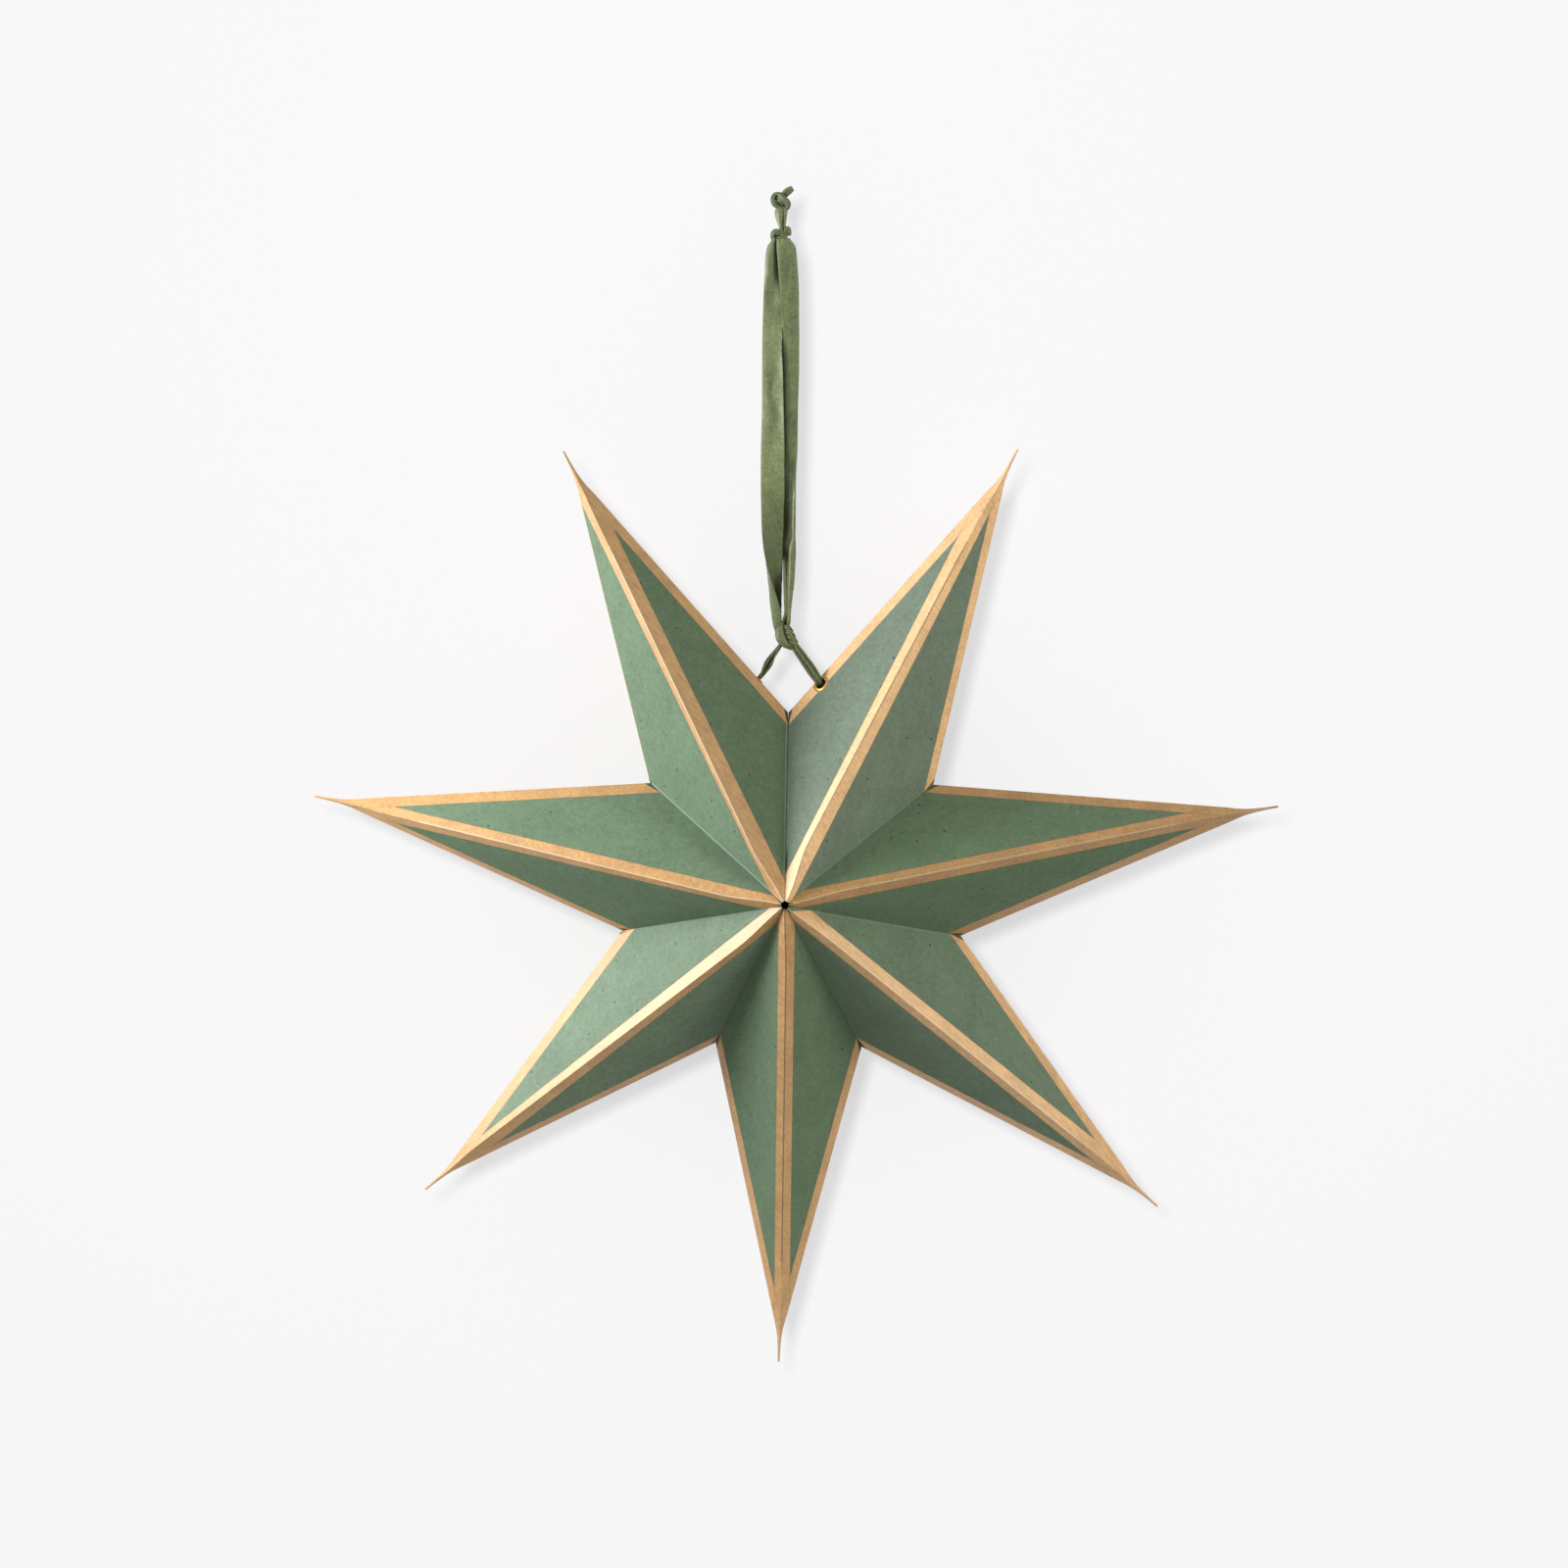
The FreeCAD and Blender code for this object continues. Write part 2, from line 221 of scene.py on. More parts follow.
# Glue thread in the valleys, partly a painted highlight
GLUE_THREAD_AND_HIGHLIGHT = srgb(176, 196, 172)
SATIN_GLOW = srgb(206, 220, 170)
# Cream that the brightest gold is mixed towards: a painted highlight
PAINTED_HIGHLIGHT_CREAM = Vector((1, 0.92, 0.78)) * 0.62


class StarPaperSettings(bpy.types.PropertyGroup):
    """Paper and paint of the seven points."""

    colour: colour_setting("Paper", "Colour of the handmade paper", srgb(109, 133, 102))
    fleck_colour: colour_setting("Flecks", "Colour of the dark flecks in the paper", srgb(44, 56, 42))
    gold_colour: colour_setting("Gold", "Colour of the paint on the folds", srgb(195, 150, 91))
    crease_colour: colour_setting("Worn crease", "Colour where the paint has cracked", srgb(104, 66, 32))
    thickness: length_setting("Paper thickness", "Thickness of one sheet", 0.4)
    fold_radius: length_setting("Fold radius", "Width of the rounding along each fold", 0.5)
    side_lift: length_setting("Side lift", "How much the panels bulge beside the side folds", 0.5)
    cockle: length_setting("Cockle", "Height of the paper's slow waves", 0.35)


class StarRibbonSettings(bpy.types.PropertyGroup):
    """The satin ribbon."""

    colour: colour_setting("Ribbon", "Colour of the satin ribbon", srgb(116, 128, 84))
    edge_colour: colour_setting("Selvedge", "Colour of the woven edge", srgb(150, 162, 116))
    width: length_setting("Ribbon width", "Width of the flat ribbon", 12.0)
    thickness: length_setting("Ribbon thickness", "Thickness of the ribbon", 0.3)
    gather: length_setting("Gathered width", "Thickness of the ribbon where it is bunched", 4.0)


class StarStageSettings(bpy.types.PropertyGroup):
    """Camera, lamps and backdrop."""

    wall_colour: colour_setting("Backdrop", "Colour of the backdrop as it is seen", srgb(248, 246, 247))
    brass_colour: colour_setting("Eyelets", "Colour of the brass eyelets", srgb(190, 146, 82))
    lens: FloatProperty(name="Lens", description="Focal length", unit="CAMERA", default=58.93)
    key_power: FloatProperty(name="Key lamp", description="Power of the side lamp", default=5.8)
    fill_power: FloatProperty(name="Fill lamp", description="Strength of the right lamp", default=1.14)
    wall_power: FloatProperty(name="Wall lamp", description="Power of the backdrop's lamp", default=17.4)
    ambient: FloatProperty(name="Ambient", description="Strength of the light all round", default=0.32)


class Value:
    """A shader socket in an expression: arithmetic on it adds Math nodes."""

    def __init__(self, shader, socket):
        self.shader = shader
        self.socket = socket

    def maths(self, operation, first, second=0.0, clamp=False):
        settings = {"operation": operation, "use_clamp": clamp}
        return self.shader.add("ShaderNodeMath", settings, {0: first, 1: second})["Value"]

    def __add__(self, other):
        return self.maths("ADD", self, other)

    def __radd__(self, other):
        return self.maths("ADD", other, self)

    def __sub__(self, other):
        return self.maths("SUBTRACT", self, other)

    def __rsub__(self, other):
        return self.maths("SUBTRACT", other, self)

    def __mul__(self, other):
        return self.maths("MULTIPLY", self, other)

    def __rmul__(self, other):
        return self.maths("MULTIPLY", other, self)

    def __truediv__(self, other):
        return self.maths("DIVIDE", self, other)

    def __abs__(self):
        return self.maths("ABSOLUTE", self)

    def sine(self):
        return self.maths("SINE", self)

    def clamped(self):
        return self.maths("ADD", self, 0.0, clamp=True)

    def larger(self, other):
        return self.maths("MAXIMUM", self, other)


class Shader:
    """A material's nodes, all added by one method."""

    def __init__(self, name, owner=None):
        self.material = owner or bpy.data.materials.new(name)
        self.material.use_nodes = True
        self.tree = self.material.node_tree
        self.tree.nodes.clear()

    def add(self, kind, settings=None, inputs=None):
        node = self.tree.nodes.new(kind)
        for name, value in (settings or {}).items():
            setattr(node, name, value)
        for name, value in (inputs or {}).items():
            if isinstance(value, Value):
                self.tree.links.new(value.socket, node.inputs[name])
            else:
                node.inputs[name].default_value = value
        return Outputs(self, node)

    def noise(self, place, scale, detail=3.0, rough=0.55):
        inputs = {"Vector": place, "Scale": scale, "Detail": detail, "Roughness": rough}
        return self.add("ShaderNodeTexNoise", {"normalize": True}, inputs)["Fac"]

    def mix(self, factor, first, second):
        settings = {"data_type": "RGBA"}
        return self.add("ShaderNodeMix", settings, {0: factor, 6: first, 7: second})[2]

    def tint(self, colour, factor):
        """The colour made lighter or darker by a varying factor."""
        settings = {"operation": "SCALE"}
        return self.add("ShaderNodeVectorMath", settings, {0: colour, "Scale": factor})[0]

    def split(self, vector):
        parts = self.add("ShaderNodeSeparateXYZ", None, {0: vector})
        return parts["X"], parts["Y"], parts["Z"]

    def finish(self, shader):
        out = self.add("ShaderNodeOutputMaterial")
        self.tree.links.new(shader.socket, out.node.inputs["Surface"])
        return self.material


class Outputs:
    """The outputs of a node, picked by name or number."""

    def __init__(self, shader, node):
        self.shader = shader
        self.node = node

    def __getitem__(self, name):
        return Value(self.shader, self.node.outputs[name])


def object_place(shader):
    return shader.add("ShaderNodeTexCoord")["Object"]


def speckles(shader, place, cell, size, spread, seed):
    """Flecks about `size` across in a cube of `cell`, as a mask; `spread` is how much they differ."""
    settings = {"operation": "ADD"}
    moved = shader.add("ShaderNodeVectorMath", settings, {0: place, 1: (seed, seed * 0.7, seed * 0.3)})[0]
    cells = shader.add("ShaderNodeTexVoronoi", None, {"Vector": moved, "Scale": 1 / cell})
    chance = shader.split(cells["Color"])[0]
    reach = chance * chance * (spread / cell) + (size / cell / 2)
    return ((reach - cells["Distance"]) * (cell / size * 3)).clamped()


def paper_base(shader, settings, place, shade):
    """Colour and bump height of the bare paper. Pale sheets are greyer too."""
    base = Vector(settings.colour[:3]) * shade
    grey = sum(base) / 3
    base = base.lerp(Vector((grey, grey, grey)), max(0.0, shade - 1) * 1.8)
    clouds = shader.noise(place, 42.0, 3.0)
    grain = shader.noise(place, 430.0, 4.0, 0.7)
    pulp = shader.noise(place, 170.0, 4.0, 0.6)
    tone = 0.3 + clouds * 0.3 + grain * 0.8 + pulp * 0.3
    colour = shader.tint(tuple(base), tone)
    dark = speckles(shader, place, 6.4 * MM, 0.6 * MM, 0.6 * MM, 0.0)
    fine = speckles(shader, place, 2.7 * MM, 0.34 * MM, 0.3 * MM, 3.0)
    pale = speckles(shader, place, 11.0 * MM, 0.5 * MM, 0.35 * MM, 7.0)
    colour = shader.mix((dark * 0.72).larger(fine * 0.5), colour, tuple(settings.fleck_colour))
    colour = shader.mix(pale * 0.3, colour, PALE_FLECK)
    height = grain * 0.55 + pulp * 0.6 + dark * 0.3
    return colour, height


def plain_paper(settings):
    shader = Shader("paper_inside")
    place = object_place(shader)
    colour, height = paper_base(shader, settings, place, 1.0)
    bump = shader.add("ShaderNodeBump", None, {"Strength": 0.25, "Distance": 0.2 * MM, "Height": height})
    inputs = {"Base Color": colour, "Roughness": 0.85, "Normal": bump["Normal"]}
    return shader.finish(shader.add("ShaderNodeBsdfPrincipled", None, inputs)["BSDF"])


def painted_paper(settings, point):
    """Paper with gold paint on its folds. The maps hold how far a place is from each fold."""
    shader = Shader("paper_" + point.name)
    place = object_place(shader)
    colour, height = paper_base(shader, settings, place, point.shade)
    # The gold is painted lighter or darker for the light its folds catch, and above 1 it turns towards cream
    # as a painted highlight.
    paint = Vector(settings.gold_colour[:3]) * point.gold_painted_light
    paint = paint.lerp(PAINTED_HIGHLIGHT_CREAM, max(0.0, point.gold_painted_light - 1) * 0.22)

    band, side, _ = shader.split(shader.add("ShaderNodeUVMap", {"uv_map": "bands"})["UV"])
    crease, valley, _ = shader.split(shader.add("ShaderNodeUVMap", {"uv_map": "creases"})["UV"])
    wobble = shader.noise(place, 160.0, 3.0) - 0.5
    inside = 0.5 - abs(band - 0.5)
    ridge_gold = ((inside + wobble * 0.03) * 40.0).clamped()
    side_gold = ((1 - side + wobble * 0.07) * 18.0).clamped()
    gold = ridge_gold.larger(side_gold)

    # Fine slanting brush marks, and slower blotches where the paint lies thicker
    slant = {"rotation_type": "EULER_XYZ"}
    turned = {"Vector": place, "Rotation": (0, math.radians(40), 0)}
    brushed_place = shader.add("ShaderNodeVectorRotate", slant, turned)["Vector"]
    stretch = {"operation": "MULTIPLY"}
    brushed_place = shader.add("ShaderNodeVectorMath", stretch, {0: brushed_place, 1: (1.0, 1.0, 0.22)})[0]
    brushed = shader.noise(brushed_place, 900.0, 3.0, 0.6)
    blotches = shader.noise(place, 85.0, 3.0)
    gold_shade = 0.2 + brushed * 1.0 + blotches * 0.6
    gold_colour = shader.tint(tuple(paint), gold_shade)
    # A line along the ridge's crease: dark where crease_tone is above 0, a pale painted highlight where it
    # is below.
    crease_line_and_highlight = ((0.45 - abs(crease)) * 5.0).clamped() * abs(point.crease_tone)
    crease_line_and_highlight_colour = tuple(settings.crease_colour) if point.crease_tone > 0 else PAINTED_CREASE_HIGHLIGHT
    gold_colour = shader.mix(crease_line_and_highlight, gold_colour, crease_line_and_highlight_colour)
    colour = shader.mix(gold, colour, gold_colour)
    # A thin line at the paint's rim is a little darker.
    ridge_rim = ((0.04 - abs(inside - 0.015)) * 30.0).clamped()
    side_rim = ((0.09 - abs(side - 0.97)) * 12.0).clamped()
    rim = ridge_rim.larger(side_rim)
    colour = shader.mix(rim * 0.3, colour, tuple(settings.crease_colour))
    # A pale thread of glue and worn paper runs down each valley, partly a painted highlight along its raised
    # edge.
    seam = ((0.5 - abs(valley - 0.55)) * 3.0).clamped()
    colour = shader.mix(seam * point.seam, colour, GLUE_THREAD_AND_HIGHLIGHT)

    roughness = 0.86 - gold * (0.5 - brushed * 0.2)
    height = height * (1 - gold * 0.6) + gold * (0.5 + brushed * 0.5)
    bump = shader.add("ShaderNodeBump", None, {"Strength": 0.3, "Distance": 0.25 * MM, "Height": height})
    inputs = {
        "Base Color": colour,
        "Roughness": roughness,
        "Metallic": gold * 0.08,
        "Coat Weight": gold * 0.5,
        "Coat Roughness": 0.5,
        "Normal": bump["Normal"],
    }
    return shader.finish(shader.add("ShaderNodeBsdfPrincipled", None, inputs)["BSDF"])


RIB_PITCH = 1.3 * MM
FOLD_REACH = 6 * MM  # how near another part of the ribbon must come to paint shade into a fold
TURNED_MIDDLE = 38.0  # millimetres from the lower knot to the middle of the turned stretch
LEFT_TURNED_SHADE = 0.36  # how much painted shade that stretch of the left side gets
# The tie and the knots get the same satin painted darker: painted shade where the ribbon is bunched.
TIE_PAINTED_SHADE = 0.8
KNOT_PAINTED_SHADE = 0.84


def ribbon_satin(settings, name, shade=1.0, turned_away=0.0):
    """Satin with fine cross ribs and a paler selvedge. The map runs across and along the ribbon."""
    shader = Shader(name)
    place = object_place(shader)
    across, along, _ = shader.split(shader.add("ShaderNodeUVMap", {"uv_map": "weave"})["UV"])
    pile = shader.noise(place, 700.0, 3.0, 0.75)
    clouds = shader.noise(place, 190.0, 3.0)
    edge = ((abs(across) - 0.91) * 14.0).clamped()
    ribs = (along * (2 * math.pi / RIB_PITCH)).sine()
    slow = shader.noise(place, 70.0, 2.0)
    tone = -0.55 + pile * 1.7 + clouds * 0.8 + slow * 0.7 + edge * ribs * 0.2
    # shade darkens the whole satin; for the tie and the knots this is painted shade.
    colour = shader.tint(tuple(part * shade for part in settings.colour[:3]), tone)
    colour = shader.mix(edge * (0.45 + ribs * 0.25), colour, tuple(settings.edge_colour))
    # Deep in a fold the colour is painted darker, a painted shade from ambient occlusion, and the satin
    # loses its shine there.
    # The colour of the painted shade, in folds and on the turned stretch
    dark = (*(part * 0.12 for part in settings.colour[:3]), 1.0)
    fold_shade_occlusion = shader.add("ShaderNodeAmbientOcclusion", {"samples": 8}, {"Distance": FOLD_REACH})["AO"]
    open_share = ((fold_shade_occlusion - 0.52) * 2.9).clamped()
    colour = shader.mix(open_share, dark, colour)
    # Above the lower knot a stretch of a side is painted darker, a painted shade where it turns away from
    # the light.
    turned = (1.25 - abs(along / MM - TURNED_MIDDLE) / TURNED_MIDDLE).clamped() * turned_away
    colour = shader.mix(turned, colour, dark)
    height = pile * 0.6 + ribs * (0.1 + edge * 0.5)
    bump = shader.add("ShaderNodeBump", None, {"Strength": 0.5, "Distance": 0.15 * MM, "Height": height})
    inputs = {
        "Base Color": colour,
        "Roughness": 0.92 - open_share * 0.44,
        "Normal": bump["Normal"],
        "Sheen Weight": 0.15,
        "Sheen Roughness": 0.4,
        "Sheen Tint": SATIN_GLOW,
    }
    return shader.finish(shader.add("ShaderNodeBsdfPrincipled", None, inputs)["BSDF"])


def polished_brass(settings):
    shader = Shader("eyelet_brass")
    place = object_place(shader)
    scuffs = shader.noise(place, 900.0, 4.0)
    tarnish = shader.noise(place, 260.0, 3.0)
    colour = shader.tint(tuple(settings.brass_colour[:3]), 0.82 + tarnish * 0.3)
    bump = shader.add("ShaderNodeBump", None, {"Strength": 0.15, "Distance": 0.05 * MM, "Height": scuffs})
    inputs = {
        "Base Color": colour,
        "Metallic": 1.0,
        "Roughness": 0.28 + scuffs * 0.16,
        "Normal": bump["Normal"],
    }
    return shader.finish(shader.add("ShaderNodeBsdfPrincipled", None, inputs)["BSDF"])


def smooth_step(value, low, high):
    share = min(1.0, max(0.0, (value - low) / (high - low)))
    return share * share * (3 - 2 * share)


def add_piece(name, mesh, *materials):
    """A new object at the origin that rides on the star."""
    piece = bpy.data.objects.new(name, mesh)
    bpy.context.scene.collection.objects.link(piece)
    for material in materials:
        mesh.materials.append(material)
    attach(piece, "root")
    return piece


def apply_modifiers(piece):
    """The piece's modifiers made part of its mesh."""
    bpy.context.view_layer.update()
    evaluated = piece.evaluated_get(bpy.context.evaluated_depsgraph_get())
    mesh = bpy.data.meshes.new_from_object(evaluated)
    piece.modifiers.clear()
    old = piece.data
    piece.data = mesh
    mesh.name = piece.name
    bpy.data.meshes.remove(old)


class FoldedPoint:
    """One point of the star, in its own axes: out along the point, to its left, and to the front."""

    def __init__(self, name, settings):
        row = POINTS[name]
        self.name = name
        self.settings = settings
        self.degrees = row["degrees"]
        self.bow_in, self.bow_out = row["bow"]
        self.band = row["band"]
        self.side_gold = row["side_gold"]
        self.flat = row["flat"]
        self.crease_tone = row["crease"]
        self.gold_painted_light = row["gold"]
        self.shade = row["shade"]
        self.seam = row["seam"]
        names = list(POINTS)
        index = names.index(name)
        before = POINTS[names[index - 1]]["degrees"] + (0 if index else 360)
        follower = names[(index + 1) % len(names)]
        after = POINTS[follower]["degrees"] - (0 if index + 1 < len(names) else 360)
        left = (before - self.degrees) / 2
        right = (self.degrees - after) / 2
        if name == "upper_left":
            right -= TOP_VALLEY_OFF_DEG + TOP_VALLEY_OPEN_DEG / 2
        if name == "upper_right":
            left += TOP_VALLEY_OFF_DEG - TOP_VALLEY_OPEN_DEG / 2
        self.turns = (math.radians(right), math.radians(left))

    def matrix(self):
        """From the point's own axes, in millimetres, to the row's frame, in metres."""
        turn = math.radians(self.degrees)
        out = Vector((math.cos(turn), 0, math.sin(turn)))
        left = Vector((-math.sin(turn), 0, math.cos(turn)))
        front = Vector((0, -1, 0))
        axes = Matrix((out, left, front)).transposed().to_4x4()
        return Matrix.Translation(CENTRE) @ axes @ Matrix.Scale(MM, 4)

    def notch(self, side):
        """Inner corner on the right (side -1) or left (side 1) of the point."""
        turn = self.turns[(side + 1) // 2]
        return Vector((NOTCH_RADIUS * math.cos(turn), side * NOTCH_RADIUS * math.sin(turn), 0))

    def side_reach(self, side, out):
        """How far the side crease is from the middle line."""
        corner = self.notch(side)
        return abs(corner.y) * (CREASE_END - out) / (CREASE_END - corner.x)

    def ridge_height(self, out):
        return HALF_DEPTH * (1 - out / CREASE_END)

    def bow(self, out):
        """How far the ridge crease runs to the left of the middle line."""
        share = (out - BOW_AT[0]) / (BOW_AT[1] - BOW_AT[0])
        offset = self.bow_in + (self.bow_out - self.bow_in) * share
        return offset * smooth_step(out, *BOW_BEGINS) * (1 - smooth_step(out, *BOW_ENDS))

    def valley_distance(self, place):
        """Distance to the nearer of the two valley planes."""
        right, left = self.turns
        from_right = place.x * math.sin(right) + place.y * math.cos(right)
        from_left = place.x * math.sin(left) - place.y * math.cos(left)
        return min(from_right, from_left)

    def side_distance(self, place):
        """Distance inwards from the side crease, as seen from the front, and the side it is on."""
        side = -1 if place.y < self.bow(place.x) else 1
        corner = self.notch(side)
        along = Vector((CREASE_END - corner.x, -corner.y)).normalized()
        reach = Vector((place.x - corner.x, place.y - corner.y))
        return -side * (along.x * reach.y - along.y * reach.x), side

    def start(self, bm):
        """Four flat panels, closed round the point and open at the valleys and near the tip."""
        front = bm.verts.new((0, 0, HALF_DEPTH))
        back = bm.verts.new((0, 0, -HALF_DEPTH))
        right, left = (bm.verts.new(self.notch(side)) for side in (-1, 1))
        height = self.ridge_height(BODY_END)
        end_front = bm.verts.new((BODY_END, 0, height))
        end_back = bm.verts.new((BODY_END, 0, -height))
        end_right = bm.verts.new((BODY_END, -self.side_reach(-1, BODY_END), 0))
        end_left = bm.verts.new((BODY_END, self.side_reach(1, BODY_END), 0))
        bm.faces.new((front, right, end_right, end_front))
        bm.faces.new((front, end_front, end_left, left))
        bm.faces.new((back, end_back, end_right, right))
        bm.faces.new((back, left, end_left, end_back))
        long_edges = [e for e in bm.edges if abs(e.verts[0].co.x - e.verts[1].co.x) > NOTCH_RADIUS]
        bmesh.ops.subdivide_edges(bm, edges=long_edges, cuts=LONG_CUTS)
        bmesh.ops.subdivide_edges(bm, edges=bm.edges[:], cuts=PANEL_CUTS, use_grid_fill=True)

    def shift_ridges(self, bm):
        """The creases at the front and back ridge, moved off the middle line by hand folding."""
        for vert in bm.verts:
            place = vert.co.copy()
            ridge = abs(place.z) / self.ridge_height(place.x)
            turn = self.turns[0] if place.y < 0 else self.turns[1]
            at_ridge = max(1e-6, place.x * math.sin(turn))
            inside = max(0.0, self.valley_distance(place)) / at_ridge
            vert.co.y += self.bow(place.x) * min(1.0, ridge, inside)

    def cut_band_edges(self, bm):
        """An edge in the mesh along each border of the gold paint."""
        right, left = self.band
        planes = [((0, -right, 0), (0, 1, 0)), ((0, left, 0), (0, 1, 0))]
        for side, gold in zip((-1, 1), self.side_gold):
            corner = self.notch(side)
            along = Vector((CREASE_END - corner.x, -corner.y, 0)).normalized()
            inward = Vector((0, 0, 1)).cross(along) * -side
            planes.append((corner + inward * max(gold, GOLD_LEAST), inward))
        for place, normal in planes:
            geom = bm.verts[:] + bm.edges[:] + bm.faces[:]
            bmesh.ops.bisect_plane(bm, geom=geom, dist=1e-5, plane_co=place, plane_no=normal)

    def pinch_tip(self, bm):
        """The end of the point, pinched into a thin fin."""
        ring = [e for e in bm.edges if all(abs(v.co.x - BODY_END) < 1e-4 for v in e.verts)]
        height = self.ridge_height(BODY_END)
        reach = [self.side_reach(side, BODY_END) for side in (-1, 1)]
        for back, half_width, half_depth in reversed(FIN):
            made = bmesh.ops.extrude_edge_only(bm, edges=ring)["geom"]
            ring = [g for g in made if isinstance(g, bmesh.types.BMEdge)]
            verts = [g for g in made if isinstance(g, bmesh.types.BMVert)]
            for vert in verts:
                wide = reach[0] if vert.co.y < 0 else reach[1]
                vert.co = (TIP_RADIUS - back, vert.co.y / wide * half_width, vert.co.z / height * half_depth)
            height = half_depth
            reach = [half_width, half_width]

    def fold_flaps(self, bm):
        """Glue flaps turned in along the two valleys."""
        slope = math.hypot(NOTCH_RADIUS, HALF_DEPTH)
        apex = NOTCH_RADIUS - VALLEY_FLAP * slope / HALF_DEPTH
        reach = HALF_DEPTH - VALLEY_FLAP * slope / NOTCH_RADIUS
        for side, turn in zip((-1, 1), self.turns):
            def on_valley(vert):
                gap = vert.co.x * math.sin(turn) - side * vert.co.y * math.cos(turn)
                return abs(gap) < 1e-3 and vert.co.x < NOTCH_RADIUS
            edges = [e for e in bm.edges if len(e.link_faces) == 1 and all(map(on_valley, e.verts))]
            made = bmesh.ops.extrude_edge_only(bm, edges=edges)["geom"]
            for vert in (g for g in made if isinstance(g, bmesh.types.BMVert)):
                share = min(1.0, math.hypot(vert.co.x, vert.co.y) / NOTCH_RADIUS)
                sign = 1 if vert.co.z > 0 else -1
                radius = share * apex
                vert.co = (
                    radius * math.cos(turn),
                    side * radius * math.sin(turn),
                    sign * reach * (1 - share),
                )
            for face in (g for g in made if isinstance(g, bmesh.types.BMFace)):
                face.material_index = 1

    def round_folds(self, bm):
        folds = [e for e in bm.edges if len(e.link_faces) == 2 and e.calc_face_angle(0) > FOLD_ANGLE]
        bmesh.ops.bevel(
            bm, geom=folds, offset=self.settings.fold_radius / MM, offset_type="OFFSET", affect="EDGES",
            segments=3, profile=0.5, material=-1, clamp_overlap=True, loop_slide=True,
        )

    def write_maps(self, bm):
        """How far each place is from the folds, for the paint."""
        bands = bm.loops.layers.uv.new("bands")
        creases = bm.loops.layers.uv.new("creases")
        right, left = self.band
        for face in bm.faces:
            middle = face.calc_center_median()
            at_front = middle.z > 0
            _, side = self.side_distance(middle)
            gold = self.side_gold[(side + 1) // 2]
            if not at_front:
                gold = GOLD_STRIPE - gold
            corner_gap = min((middle - self.notch(which)).length for which in (-1, 1))
            flap = face.material_index == 1 and corner_gap > FLAP_CLEAR
            face.material_index = int(flap)
            for loop in face.loops:
                place = loop.vert.co
                distance, _ = self.side_distance(place)
                in_fin = smooth_step(place.x, BODY_END - FIN_BLEND, BODY_END + FIN_BLEND)
                band = (place.y + right) / (right + left)
                band += (0.5 - band) * in_fin
                loop[bands].uv = UNPAINTED if flap else (band, distance / max(gold, 0.05))
                sharp = 1 + TIP_SHARPER * smooth_step(place.x, BODY_END - TIP_FADE, BODY_END)
                loop[creases].uv = ((place.y - self.bow(place.x)) * sharp, self.valley_distance(place))

    def settle_paper(self, bm, seats):
        """Pressed ridges, lifted band edges and the slow waves of handmade paper."""
        side_lift = self.settings.side_lift / MM
        wave = self.settings.cockle / MM
        seed = Vector((self.degrees, 3.7, 1.3))
        for vert in bm.verts:
            place = vert.co.copy()
            if place.x > BODY_END:
                continue
            side_gap, side = self.side_distance(place)
            valley_gap = self.valley_distance(place)
            bow = self.bow(place.x)
            widths = (self.band[0] + bow, self.band[1] - bow)
            drop = min(flat * width for flat, width in zip(self.flat, widths)) / 2
            width = widths[(side + 1) // 2]
            lift = self.flat[(side + 1) // 2] * width - drop
            from_crease = abs(place.y - bow)
            reach = self.side_reach(side, place.x) - side * bow
            gold = max(GOLD_LEAST, self.side_gold[(side + 1) // 2])
            if from_crease < width:
                height = (drop + lift) * from_crease / width - drop
            else:
                height = lift * max(0.0, 1 - (from_crease - width) / max(1.0, reach - width))
                beside = min(1.0, max(0.0, side_gap) / gold, (from_crease - width) / gold)
                height += side_lift * beside
            room = min(1.0, max(0.0, (self.side_reach(side, place.x) - NARROW_END[0]) / NARROW_END[1]))
            room *= min(1.0, max(0.0, valley_gap - VALLEY_CALM[0]) / VALLEY_CALM[1])
            inner = min(from_crease - width, side_gap - gold, valley_gap - 1)
            calm = smooth_step(inner, 0, WAVE_CALM)
            slow = sum(noise.noise(place * fine + seed) * share for fine, share in WAVES)
            for seat in seats:
                near = smooth_step((place - seat).length, *EYELET_CALM)
                height *= near
                calm *= near
            height = height * room + wave * slow * calm
            # What lies on the side fold itself stays.
            if abs(place.z) > 0.2 or side_gap > 0.6:
                vert.co.z += height if place.z > 0 else -height
        # The sheets touch nowhere: what has come too near to a valley goes back a little.
        for vert in bm.verts:
            gap = self.valley_distance(vert.co)
            if gap < GLUE_GAP and vert.co.x < NOTCH_RADIUS + 1:
                side = -1 if vert.co.y < 0 else 1
                turn = self.turns[(side + 1) // 2]
                inward = Vector((math.sin(turn), -side * math.cos(turn), 0))
                vert.co += inward * (GLUE_GAP - gap)

    def seat(self, side, face):
        """The middle of an eyelet on the panel at this side and face, and the panel's normal."""
        corner = self.notch(side)
        end = Vector((CREASE_END, 0, 0))
        apex = Vector((0, 0, face * HALF_DEPTH))
        normal = (end - corner).cross(apex - corner).normalized()
        if normal.z * face < 0:
            normal = -normal
        along = (end - corner).normalized()
        inward = normal.cross(along)
        if inward.dot(-corner) < 0:
            inward = -inward
        return corner + along * EYELET_ALONG + inward * EYELET_INSET, normal

